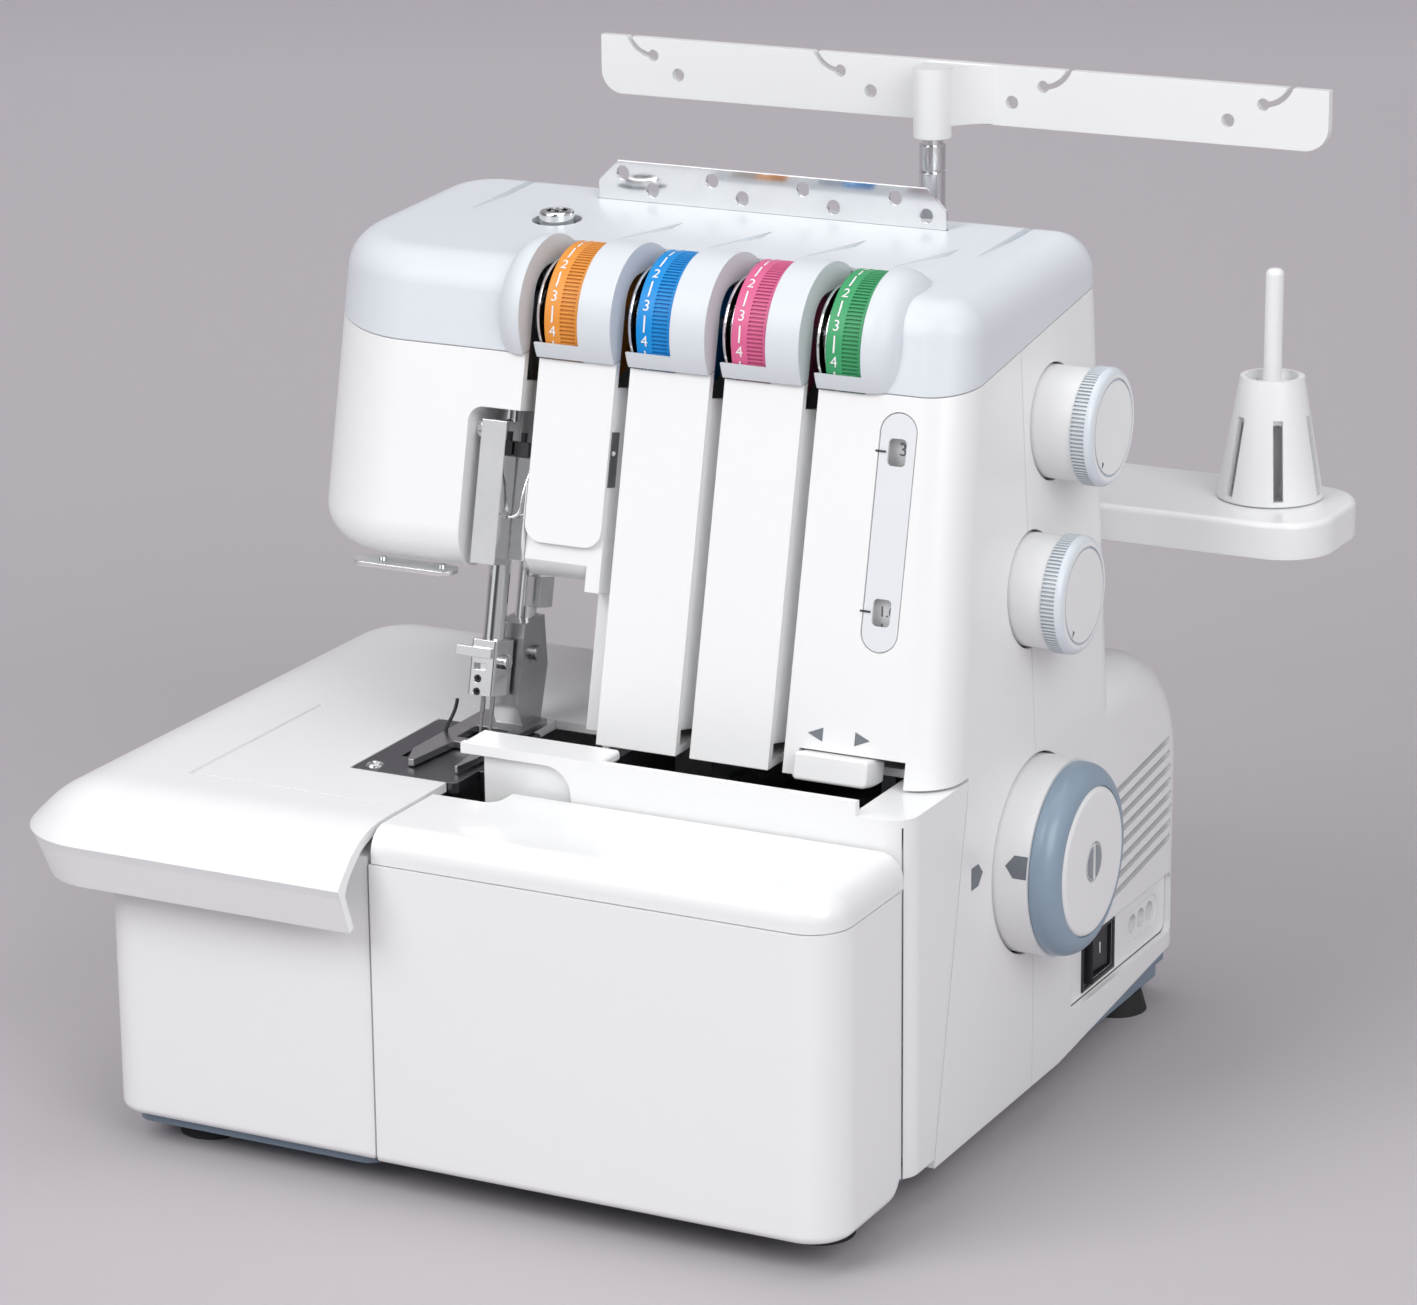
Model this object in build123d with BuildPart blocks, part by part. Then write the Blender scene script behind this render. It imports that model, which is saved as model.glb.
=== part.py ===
from build123d import *
from math import cos, radians, sin, tan
import os

os.makedirs("parts", exist_ok=True)

# Driving dimensions in millimetres: table at Z 0, +X to the handwheel, -Y to the user
WALL = 2.5
SEAM = 0.15
BASE_Z = 11.0
BED_Z = 121.0
BED_LEFT = -176.0
BED_NOSE = -147.4
BED_BACK = 89.0
BED_EDGE = 30.0
BED_SPLIT = -9.0
SIDE_X = 110.0
PILLAR_X = -20.0
HEAD_X = -132.0
HEAD_Z = 177.0
BACK_Y = 85.0
REAR_Y = 147.4
MOTOR_TOP = 132.0
LEAN = 13.0
PANEL_Y = -54.0
PANEL_Z = 131.3
TOP_FRONT_Z = 275.5
TOP_BACK_Z = 281.0
COVER_X = -48.0
COVER_Y = -131.0
COVER_BACK = -82.0
SEAM_Z = 110.0
HINGE_Y = -123.0
HINGE_Z = 18.0
SIDE_SEAM_Y = 17.0
SLOT_X = (-45.0, -12.4, 20.7, 53.0)
SLOT_W = 5.0
DIAL_Y = -7.5
DIAL_Z = 258.7
DIAL_R = 22.3
DIAL_GAP = 0.5
HUMP_R = 23.8
LIP_Z = 253.0
WHEEL_Y = 16.1
WHEEL_Z = 91.3
STITCH_Y = 40.3
STITCH_Z = 226.9
FEED_Y = 18.4
FEED_Z = 177.8
NEEDLE_X = -59.0
NEEDLE_Y = -39.0
NEEDLE_GAP = 3.4
PRESSER_X = -57.0
PRESSER_SETBACK = 17.0
LOOPER_PIVOT = (-25.0, 40.0)
KNIFE_PIVOT = (-6.0, 62.0)
POLE_X = 31.0
POLE_Y = 110.0
TRAY_Z = 188.0
PIN_Y = 120.5
PIN_X = (POLE_X - 117.0, POLE_X - 39.0, POLE_X + 39.0, POLE_X + 117.0)

SLOPE = tan(radians(LEAN))
UP = (0.0, sin(radians(LEAN)), cos(radians(LEAN)))
OUTWARD = (0.0, -cos(radians(LEAN)), sin(radians(LEAN)))
PANEL = Plane(origin=(0, PANEL_Y, PANEL_Z), x_dir=(1, 0, 0), z_dir=OUTWARD)
PARTING = Plane(origin=(0, -27, 248), x_dir=(1, 0, 0), z_dir=(0, -0.1435, 0.9897))


def rise(z):
    """Distance up the leaning front panel at which a height is reached."""
    return (z - PANEL_Z) / cos(radians(LEAN))


def panel_y(z):
    """Depth of the leaning front panel at a height."""
    return PANEL_Y + (z - PANEL_Z) * SLOPE


def bar_plane(x, y, z):
    """Plane square to the leaning needle bar, reached by sliding up the bar from bed height."""
    return Plane(origin=(x, y + (z - BED_Z) * SLOPE, z), x_dir=(1, 0, 0), z_dir=UP)


def across(x, y, z):
    """Plane square to the X axis with its origin at a point."""
    return Plane(origin=(x, y, z), x_dir=(0, 1, 0), z_dir=(1, 0, 0))


def middle_at(edges, x=None, y=None, z=None, reach=2.0):
    """Edges whose middle lies near the given coordinates."""
    picked = []
    for edge in edges:
        spot = edge.position_at(0.5)
        wanted = ((spot.X, x), (spot.Y, y), (spot.Z, z))
        if all(goal is None or abs(value - goal) < reach for value, goal in wanted):
            picked.append(edge)
    return picked


def hand_in(block, name):
    """Label a finished piece and write it."""
    block.part.label = name
    export_step(block.part, f"parts/{name}.step")


def housing(inset):
    """Solid of pillar, motor housing and head, at the skin or at a depth below it."""
    round_centre = (REAR_Y - 45.0, MOTOR_TOP - 45.0)
    with BuildPart() as motor_housing:
        with BuildSketch(Plane.YZ.offset(PILLAR_X + inset)):
            with BuildLine():
                Polyline((REAR_Y, round_centre[1]), (REAR_Y, 21), (39, BASE_Z), (39, MOTOR_TOP),
                         (round_centre[0], MOTOR_TOP))
                CenterArc(round_centre, 45.0, 0, 90)
            make_face()
            if inset:
                offset(amount=-inset, kind=Kind.INTERSECTION)
        extrude(amount=SIDE_X - PILLAR_X - 2 * inset)
        right_rim = middle_at(motor_housing.edges(), x=SIDE_X - inset, reach=0.1)
        fillet([e for e in right_rim if e.position_at(0.5).Y > 50 and e.position_at(0.5).Z > 30], 14 - inset)
    with BuildPart() as solid:
        with BuildSketch(Plane.YZ.offset(PILLAR_X + inset)):
            with BuildLine():
                Polyline((BACK_Y, 15.24), (39, BASE_Z), (-59, BASE_Z), (-34, PANEL_Z), (PANEL_Y, PANEL_Z),
                         (panel_y(TOP_FRONT_Z), TOP_FRONT_Z), (BACK_Y, TOP_BACK_Z), close=True)
            make_face()
            if inset:
                offset(amount=-inset, kind=Kind.INTERSECTION)
        extrude(amount=SIDE_X - PILLAR_X - 2 * inset)
        with BuildSketch(Plane.YZ.offset(HEAD_X + inset)):
            with BuildLine():
                Polyline((panel_y(HEAD_Z), HEAD_Z), (panel_y(TOP_FRONT_Z), TOP_FRONT_Z),
                         (BACK_Y, TOP_BACK_Z), (BACK_Y, HEAD_Z), close=True)
            make_face()
            if inset:
                offset(amount=-inset, kind=Kind.INTERSECTION)
        extrude(amount=PILLAR_X - HEAD_X + 1)
        with BuildSketch(Plane.XZ.offset(-200)):
            with BuildLine():
                Polyline((SIDE_X - inset, 125), (SIDE_X - inset - 8, 290), (SIDE_X + 20, 290),
                         (SIDE_X + 20, 125), close=True)
            make_face()
        extrude(amount=400, mode=Mode.SUBTRACT)
        corner_left = middle_at(solid.edges(), x=HEAD_X + inset, z=226, reach=4)
        fillet([e for e in corner_left if e.center().Y < 0], 40 - inset)
        corner_left = middle_at(solid.edges(), x=HEAD_X + inset, z=229, reach=4)
        fillet([e for e in corner_left if e.center().Y > 0], 22 - inset)
        fillet(middle_at(solid.edges(), x=106, y=-37, z=203, reach=8), 15 - inset)
        fillet(middle_at(solid.edges(), x=106, y=BACK_Y - inset, z=203, reach=5), 12 - inset)
        top = solid.faces().sort_by(Axis.Z)[-1]
        fillet(top.edges(), 13 - inset)
        under = [f for f in solid.faces() if abs(f.center().Z - HEAD_Z - inset) < 0.1]
        rim = [e for e in under[0].edges() if abs(e.position_at(0.5).X - PILLAR_X) > 4]
        fillet(rim, 12 - inset)
        add(motor_housing.part)
    return solid.part


OUTER = housing(0)
INNER = housing(WALL)

with BuildPart() as shell:
    add(OUTER)
    add(INNER, mode=Mode.SUBTRACT)
    with BuildSketch(Plane.XY):
        with Locations((PILLAR_X + 62, 44)):
            Rectangle(119, 198)
    extrude(amount=30, mode=Mode.SUBTRACT)
    with BuildSketch(Plane.XY.offset(5)):
        with Locations((PILLAR_X, 18)):
            Rectangle(20, 110)
    extrude(amount=112, mode=Mode.SUBTRACT)
    with BuildSketch(across(90, STITCH_Y, STITCH_Z)):
        Circle(18.8)
    extrude(amount=40, mode=Mode.SUBTRACT)
    with BuildSketch(across(90, FEED_Y, FEED_Z)):
        Circle(18.8)
    extrude(amount=40, mode=Mode.SUBTRACT)
    with BuildSketch(across(90, WHEEL_Y, WHEEL_Z)):
        Circle(32.8)
    extrude(amount=40, mode=Mode.SUBTRACT)

# Rounded hump that carries the four dials
with BuildPart() as hump:
    with BuildSketch(across(-58, DIAL_Y, DIAL_Z)):
        Circle(HUMP_R)
    extrude(amount=140)
    fillet(hump.edges().filter_by(GeomType.CIRCLE), 9)

# Grey top cover with the hump for the dials
with BuildPart() as top_cover:
    add(shell.part)
    add(hump.part)
    add(INNER, mode=Mode.SUBTRACT)
    split(bisect_by=PARTING.offset(SEAM), keep=Keep.TOP)
    for slot in SLOT_X:
        with BuildSketch(across(slot - SLOT_W / 2, DIAL_Y, DIAL_Z)):
            Circle(DIAL_R + DIAL_GAP)
        extrude(amount=SLOT_W + 15.9, mode=Mode.SUBTRACT)
        with BuildSketch(Plane.YZ.offset(slot - SLOT_W / 2)):
            with Locations((-17, LIP_Z + 20)):
                Rectangle(46, 40)
        extrude(amount=SLOT_W + 15.9, mode=Mode.SUBTRACT)
        with BuildSketch(Plane.XY.offset(240)):
            with Locations((slot, -25)):
                Rectangle(SLOT_W, 24)
        extrude(amount=20, mode=Mode.SUBTRACT)
        with BuildSketch(Plane.XY.offset(290)):
            with BuildLine():
                Polyline((slot + 6, 12), (slot + 18.4, 12), (slot + 18.4, 42), close=True)
            make_face()
        extrude(amount=-12.6, mode=Mode.SUBTRACT)
    for groove_x in (-100, 82):
        with BuildSketch(Plane.XY.offset(290)):
            with Locations((groove_x, 42)):
                SlotOverall(72, 3, rotation=90)
        extrude(amount=-11.6, mode=Mode.SUBTRACT)
    with BuildSketch(Plane.XY.offset(290)):
        with Locations((-67.6, 31.5)):
            Circle(8.2)
    extrude(amount=-20, mode=Mode.SUBTRACT)
    with BuildSketch(Plane.XY.offset(290)):
        with Locations((-5, 62)):
            Rectangle(127, 1.8)
    extrude(amount=-20, mode=Mode.SUBTRACT)
hand_in(top_cover, "top_cover")

# Face of the head left of the first thread slot, with the needle recess
with BuildPart() as face_cover:
    add(shell.part)
    split(bisect_by=PARTING.offset(-SEAM), keep=Keep.BOTTOM)
    split(bisect_by=Plane.YZ.offset(SLOT_X[0] + SLOT_W / 2 - SEAM), keep=Keep.BOTTOM)
    split(bisect_by=Plane.XZ.offset(-SIDE_SEAM_Y + SEAM), keep=Keep.TOP)
    with BuildSketch(PANEL.offset(-2)):
        with Locations((-54.5, rise(204))):
            Rectangle(27, 58)
        with Locations((SLOT_X[0], rise(233))):
            Rectangle(SLOT_W + 4, 14)
    extrude(amount=-24)
    with BuildSketch(PANEL.offset(1)):
        with Locations((-54.5, rise(203))):
            RectangleRounded(23, 56, 5)
        with Locations((-54.5, rise(180))):
            Rectangle(23, 24)
    extrude(amount=-25, mode=Mode.SUBTRACT)
    with BuildSketch(PANEL.offset(1)):
        with Locations((SLOT_X[0], rise(238))):
            Rectangle(SLOT_W, 60)
    extrude(amount=-12, mode=Mode.SUBTRACT)
    with BuildSketch(bar_plane(NEEDLE_X, NEEDLE_Y, 200)):
        Circle(4.5)
    extrude(amount=50, mode=Mode.SUBTRACT)
    with BuildSketch(Plane.XY.offset(160)):
        with Locations((-55, -20)):
            Rectangle(22, 48)
    extrude(amount=22, mode=Mode.SUBTRACT)
    add(OUTER, mode=Mode.INTERSECT)
    split(bisect_by=Plane.YZ.offset(SLOT_X[0] + SLOT_W / 2 - SEAM), keep=Keep.BOTTOM)
    split(bisect_by=PARTING.offset(-SEAM), keep=Keep.BOTTOM)
hand_in(face_cover, "face_cover")

# Front cover with three thread channels, the scale strip seat and the right side
with BuildPart() as front_cover:
    add(shell.part)
    split(bisect_by=PARTING.offset(-SEAM), keep=Keep.BOTTOM)
    split(bisect_by=Plane.YZ.offset(SLOT_X[0] + SLOT_W / 2 + SEAM), keep=Keep.TOP)
    split(bisect_by=Plane.XZ.offset(-SIDE_SEAM_Y + SEAM), keep=Keep.TOP)
    with BuildSketch(PANEL.offset(-2)):
        for slot in SLOT_X[1:]:
            with Locations((slot, rise(190))):
                Rectangle(SLOT_W + 4, 104)
    extrude(amount=-12)
    with BuildSketch(PANEL.offset(-2)):
        with Locations((-14, rise(156))):
            Rectangle(12.2, 62)
    extrude(amount=-20)
    with BuildSketch(PANEL.offset(-2)):
        with Locations((-27, rise(186))):
            Rectangle(30, 20)
    extrude(amount=-4)
    with BuildSketch(PANEL.offset(1)):
        for slot in SLOT_X[1:]:
            with Locations((slot, rise(190))):
                Rectangle(SLOT_W, 160)
    extrude(amount=-13, mode=Mode.SUBTRACT)
    with BuildSketch(PANEL.offset(1)):
        with Locations((-16, rise(149))):
            Rectangle(12.2, 58)
    extrude(amount=-13, mode=Mode.SUBTRACT)
    with BuildSketch(PANEL.offset(1)):
        with Locations((-28, rise(180))):
            Rectangle(36, 40)
        with Locations((-28.6, rise(219))):
            RectangleRounded(27.4, 58, 6, mode=Mode.SUBTRACT)
    extrude(amount=-3, mode=Mode.SUBTRACT)
    with BuildSketch(PANEL.offset(1)):
        with Locations((83.6, rise(207))):
            SlotOverall(74, 12.6, rotation=90)
    extrude(amount=-2.2, mode=Mode.SUBTRACT)
    with BuildSketch(PANEL.offset(1)):
        for window_z in (231, 183):
            with Locations((83.6, rise(window_z))):
                RectangleRounded(7, 10, 1.5)
        with Locations((78.5, 0)):
            Rectangle(36, 17)
    extrude(amount=-12, mode=Mode.SUBTRACT)
    for slot in SLOT_X:
        with BuildSketch(across(slot + SLOT_W / 2, DIAL_Y, DIAL_Z)):
            Circle(DIAL_R + DIAL_GAP)
        extrude(amount=15.9, mode=Mode.SUBTRACT)
    with BuildSketch(Plane.YZ.offset(PILLAR_X - 2)):
        with BuildLine():
            Polyline((-70, 10), (-52, 129), (-31, 129), (-31, 10), close=True)
        make_face()
    extrude(amount=126, mode=Mode.SUBTRACT)
    add(OUTER, mode=Mode.INTERSECT)
    split(bisect_by=PARTING.offset(-SEAM), keep=Keep.BOTTOM)
hand_in(front_cover, "front_cover")

# Rear cover with the motor housing, its vents and the terminal recess
with BuildPart() as rear_cover:
    add(shell.part)
    split(bisect_by=PARTING.offset(-SEAM), keep=Keep.BOTTOM)
    split(bisect_by=Plane.XZ.offset(-SIDE_SEAM_Y - SEAM), keep=Keep.BOTTOM)
    with BuildSketch(Plane.YZ.offset(SIDE_X - 6)):
        for index in range(8):
            with Locations((98, 56 + 5.1 * index)):
                SlotOverall(76 - 1.5 * abs(index - 2), 2.4, rotation=6.5)
    extrude(amount=10, mode=Mode.SUBTRACT)
    with BuildSketch(Plane.YZ.offset(SIDE_X - 6)):
        with Locations((92.5, 36)):
            RectangleRounded(88, 22, 4)
    extrude(amount=10, mode=Mode.SUBTRACT)
    with BuildSketch(Plane.XY.offset(165)):
        with Locations((-72.5, 66)):
            Rectangle(12, 44)
    extrude(amount=18, mode=Mode.SUBTRACT)
hand_in(rear_cover, "rear_cover")

# Base pan, set back under the opening cover, with a wedge that meets the rising rear edge
with BuildPart() as base_pan:
    with BuildSketch(Plane.XY.offset(7)):
        with BuildLine():
            Polyline((-143, -124), (-52, -124), (-52, -111), (101, -111), (101, 60), (104, 75), (104, 143),
                     (-18, 143), (-18, 68), (-143, 68), close=True)
        make_face()
    extrude(amount=3.8)
    fillet(base_pan.edges().filter_by(Axis.Z), 6)
    with BuildSketch(Plane.YZ.offset(-17)):
        with BuildLine():
            Polyline((39, 10.8), (145, 20.6), (145, 10.8), close=True)
        make_face()
    extrude(amount=121)
    with BuildSketch(Plane.XY.offset(10.8)):
        with Locations((43.5, 87)):
            Rectangle(113, 108)
    extrude(amount=20, mode=Mode.SUBTRACT)
    for arm_x in (-42, 66):
        with BuildSketch(Plane.YZ.offset(arm_x)):
            with BuildLine():
                Polyline((-108, 10), (-108, 15.5), (HINGE_Y, 15.5), (HINGE_Y, 20.5), (-100, 20.5),
                         (-100, 10), close=True)
            make_face()
            with Locations((HINGE_Y, HINGE_Z)):
                Circle(2.5)
        extrude(amount=4)
        with BuildSketch(across(arm_x - 1, HINGE_Y, HINGE_Z)):
            Circle(2.5)
        extrude(amount=30, mode=Mode.SUBTRACT)
    with Locations((-125, -105, 7), (88, -95, 7), (-125, 48, 7), (96, 121, 7)):
        Cylinder(3, 8, mode=Mode.SUBTRACT)
hand_in(base_pan, "base_pan")

# Four turned rubber feet with plugs in the pan
with BuildPart() as rubber_feet:
    with Locations((-125, -105, 3.5), (88, -95, 3.5), (-125, 48, 3.5), (96, 121, 3.5)):
        Cone(11, 9, 7)
    with Locations((-125, -105, 8.5), (88, -95, 8.5), (-125, 48, 8.5), (96, 121, 8.5)):
        Cylinder(3, 3)
hand_in(rubber_feet, "rubber_feet")

# Pins the looper cover swings on
with BuildPart() as hinge_pins:
    for pin_x in (-42, 66):
        with BuildSketch(across(pin_x, HINGE_Y, HINGE_Z)):
            Circle(2.5)
        extrude(amount=16)
hand_in(hinge_pins, "hinge_pins")

# Lower left body, a walled box under the cloth plate
with BuildPart() as left_body_cover:
    with BuildSketch(Plane.XY.offset(BASE_Z)):
        with Locations((-98.8, -29)):
            Rectangle(99.4, 202)
    extrude(amount=101)
    fillet(middle_at(left_body_cover.edges().filter_by(Axis.Z), x=-148.5), 12)
    fillet(left_body_cover.faces().sort_by(Axis.Z)[0].edges(), 3)
    with BuildSketch(Plane.XY.offset(BASE_Z - 1)):
        with Locations((-97.3, -29)):
            RectangleRounded(97.4, 197, 9)
        with Locations((-60, -29)):
            Rectangle(30, 197)
    extrude(amount=99.5, mode=Mode.SUBTRACT)
    with BuildSketch(Plane.XY.offset(100)):
        with Locations((-72, -40)):
            Rectangle(60, 120)
    extrude(amount=20, mode=Mode.SUBTRACT)
    with BuildSketch(Plane.XZ.offset(-69.5)):
        with Locations((-35, 62)):
            Rectangle(29, 100)
    extrude(amount=-2.5)
hand_in(left_body_cover, "left_body_cover")


# Section of the rolled bed edge, outward along the first axis and up the second
with BuildSketch() as bed_rim:
    with BuildLine():
        Spline((0, 121), (8, 120.4), (16, 117.9), (22.5, 113.6), (26.5, 109.8), (30, 106),
               tangents=((1, 0), (0.6, -0.8)))
        Line((30, 106), (28.6, 103))
        Polyline((28.6, 103), (24, 90.6), (21.2, 91.4), (25.6, 103.4))
        Spline((25.6, 103.4), (23.4, 107.5), (19.5, 111.4), (14.6, 115), (7.5, 117.4), (0, 118),
               tangents=((-0.4, 0.9), (-1, 0)))
        Line((0, 118), (0, 121))
    make_face()

RIM_X = BED_LEFT + BED_EDGE
RIM_FRONT = BED_NOSE + BED_EDGE
RIM_BACK = BED_BACK - BED_EDGE
FRONT_RIM = Plane(origin=(RIM_X, RIM_FRONT, 0), x_dir=(0, -1, 0), z_dir=(-1, 0, 0))
LEFT_RIM = Plane(origin=(RIM_X, RIM_FRONT, 0), x_dir=(-1, 0, 0), z_dir=(0, 1, 0))
LEFT_RIM_BACK = Plane(origin=(RIM_X, RIM_BACK, 0), x_dir=(-1, 0, 0), z_dir=(0, 1, 0))
BACK_RIM = Plane(origin=(RIM_X, RIM_BACK, 0), x_dir=(0, 1, 0), z_dir=(1, 0, 0))

# Cloth plate that slides off to the left
with BuildPart() as cloth_plate:
    with BuildSketch(Plane.XY.offset(118)):
        with BuildLine():
            Polyline((RIM_X, RIM_FRONT), (-49.2, RIM_FRONT), (-49.2, BED_SPLIT - 0.4),
                     (RIM_X, BED_SPLIT - 0.4), close=True)
        make_face()
    extrude(amount=3)
    with BuildSketch(FRONT_RIM):
        add(bed_rim.sketch)
    extrude(amount=-(-49.2 - RIM_X))
    with BuildSketch(FRONT_RIM):
        add(bed_rim.sketch)
    revolve(axis=Axis((RIM_X, RIM_FRONT, 0), (0, 0, 1)), revolution_arc=-90)
    with BuildSketch(LEFT_RIM):
        add(bed_rim.sketch)
    extrude(amount=BED_SPLIT - 0.4 - RIM_FRONT)
    with BuildSketch(Plane.XY.offset(110)):
        with Locations((-65, -52)):
            Rectangle(39.4, 57)
    extrude(amount=20, mode=Mode.SUBTRACT)
    with BuildSketch(Plane.XY.offset(BED_Z)):
        with Locations((-127.5, -67)):
            Rectangle(1.2, 80)
        with Locations((-93, -106.4)):
            Rectangle(70, 1.2)
    extrude(amount=-0.7, mode=Mode.SUBTRACT)
hand_in(cloth_plate, "cloth_plate")

# Fixed rear half of the bed
with BuildPart() as rear_bed_cover:
    with BuildSketch(Plane.XY.offset(118)):
        with BuildLine():
            Polyline((RIM_X, BED_SPLIT), (PILLAR_X - 0.5, BED_SPLIT), (PILLAR_X - 0.5, RIM_BACK),
                     (RIM_X, RIM_BACK), close=True)
        make_face()
    extrude(amount=3)
    with BuildSketch(BACK_RIM):
        add(bed_rim.sketch)
    extrude(amount=PILLAR_X - 0.5 - RIM_X)
    with BuildSketch(LEFT_RIM_BACK):
        add(bed_rim.sketch)
    revolve(axis=Axis((RIM_X, RIM_BACK, 0), (0, 0, 1)), revolution_arc=-90)
    with BuildSketch(LEFT_RIM_BACK):
        add(bed_rim.sketch)
    extrude(amount=BED_SPLIT - RIM_BACK)
hand_in(rear_bed_cover, "rear_bed_cover")

# Lower front frame: wall behind the looper bay, finger guard and right post
with BuildPart() as front_frame:
    with BuildSketch(Plane.XZ.offset(80)):
        with BuildLine():
            Polyline((-5, 24), (93, 24), (93, 135), (-44, 135), (-44, 131.5), (-5, 131.5), close=True)
        make_face()
    extrude(amount=-WALL)
    with BuildSketch(Plane.XZ.offset(80)):
        with Locations((-19.5, 133.25)):
            RectangleRounded(49, 3.5, 1.2)
    extrude(amount=-14)
    fillet(middle_at(front_frame.edges(), x=-5, z=131.5, reach=0.5), 9)
    with BuildSketch(Plane.XZ.offset(77.5)):
        with Locations((-20, 113)):
            Rectangle(34, 38)
    extrude(amount=-2)
    with BuildSketch(Plane.YZ.offset(91)):
        with BuildLine():
            Polyline((-80, BASE_Z), (-80, 130.5), (-34.8, 130.5), (-59.8, BASE_Z), close=True)
        make_face()
    extrude(amount=SIDE_X - 91)
    fillet(middle_at(front_frame.edges(), x=SIDE_X, y=-80, reach=1), 9)
    with BuildSketch(Plane.YZ.offset(90)):
        with BuildLine():
            Polyline((-77.5, BASE_Z - 1), (-77.5, 128), (-38, 128), (-62.5, BASE_Z - 1), close=True)
        make_face()
    extrude(amount=SIDE_X - 90 - WALL, mode=Mode.SUBTRACT)
    with BuildSketch(Plane.XY):
        with Locations((99, -70)):
            Rectangle(30, 40)
    extrude(amount=14, mode=Mode.SUBTRACT)
hand_in(front_frame, "front_frame")

# Opening looper cover: front with hinge knuckles, and its lid
with BuildPart() as looper_cover_front:
    with BuildSketch(Plane.XY.offset(BASE_Z)):
        with BuildLine():
            Line((COVER_X, COVER_BACK), (COVER_X, COVER_Y))
            Line((COVER_X, COVER_Y), (SIDE_X - 14, COVER_Y))
            CenterArc((SIDE_X - 14, COVER_Y + 14), 14, -90, 90)
            Line((SIDE_X, COVER_Y + 14), (SIDE_X, COVER_BACK))
            Line((SIDE_X, COVER_BACK), (COVER_X, COVER_BACK))
        make_face()
    extrude(amount=SEAM_Z - SEAM - BASE_Z)
    fillet(middle_at(looper_cover_front.edges(), y=COVER_BACK, z=BASE_Z), 9)
    fillet(middle_at(looper_cover_front.edges(), y=COVER_Y, z=BASE_Z), 3)
    with BuildSketch(Plane.XY.offset(BASE_Z - 1)):
        with BuildLine():
            Line((COVER_X + WALL, COVER_BACK + 1), (COVER_X + WALL, COVER_Y + WALL))
            Line((COVER_X + WALL, COVER_Y + WALL), (SIDE_X - 14, COVER_Y + WALL))
            CenterArc((SIDE_X - 14, COVER_Y + 14), 14 - WALL, -90, 90)
            Line((SIDE_X - WALL, COVER_Y + 14), (SIDE_X - WALL, COVER_BACK + 1))
            Line((SIDE_X - WALL, COVER_BACK + 1), (COVER_X + WALL, COVER_BACK + 1))
        make_face()
    extrude(amount=120, mode=Mode.SUBTRACT)
    with BuildSketch(Plane.YZ.offset(COVER_X - 1)):
        with Locations((-91, 60)):
            Rectangle(24, 110)
    extrude(amount=5, mode=Mode.SUBTRACT)
    for knuckle_x in (-37, 71):
        with BuildSketch(across(knuckle_x, HINGE_Y, HINGE_Z)):
            Circle(4.6)
            with Locations((-3, 0)):
                Rectangle(6, 6)
        extrude(amount=10)
        with BuildSketch(across(knuckle_x - 1, HINGE_Y, HINGE_Z)):
            Circle(2.55)
        extrude(amount=12, mode=Mode.SUBTRACT)
hand_in(looper_cover_front, "looper_cover_front")

with BuildPart() as looper_cover_lid:
    with BuildSketch(Plane.XY.offset(SEAM_Z + SEAM)):
        with BuildLine():
            Line((COVER_X + 0.6, COVER_BACK + 1), (COVER_X + 0.6, COVER_Y + 0.6))
            Line((COVER_X + 0.6, COVER_Y + 0.6), (SIDE_X - 14, COVER_Y + 0.6))
            CenterArc((SIDE_X - 14, COVER_Y + 14), 13.4, -90, 90)
            Line((SIDE_X - 0.6, COVER_Y + 14), (SIDE_X - 0.6, COVER_BACK + 1))
            Line((SIDE_X - 0.6, COVER_BACK + 1), (COVER_X + 0.6, COVER_BACK + 1))
        make_face()
    extrude(amount=BED_Z - SEAM_Z - SEAM)
    lid_top = looper_cover_lid.faces().sort_by(Axis.Z)[-1]
    fillet([e for e in lid_top.edges() if e.position_at(0.5).Y < -86 and e.position_at(0.5).X > -40], 8)
    with BuildSketch(Plane.XY.offset(SEAM_Z - 1)):
        with Locations((30.7, -104.5)):
            RectangleRounded(150, 44, 11)
        with Locations((30.7, -94)):
            Rectangle(150, 30)
    extrude(amount=9.5, mode=Mode.SUBTRACT)
    with BuildSketch(Plane.XY.offset(100)):
        with Locations((-38, -84)):
            RectangleRounded(26, 16, 5)
    extrude(amount=30, mode=Mode.SUBTRACT)
hand_in(looper_cover_lid, "looper_cover_lid")

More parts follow.
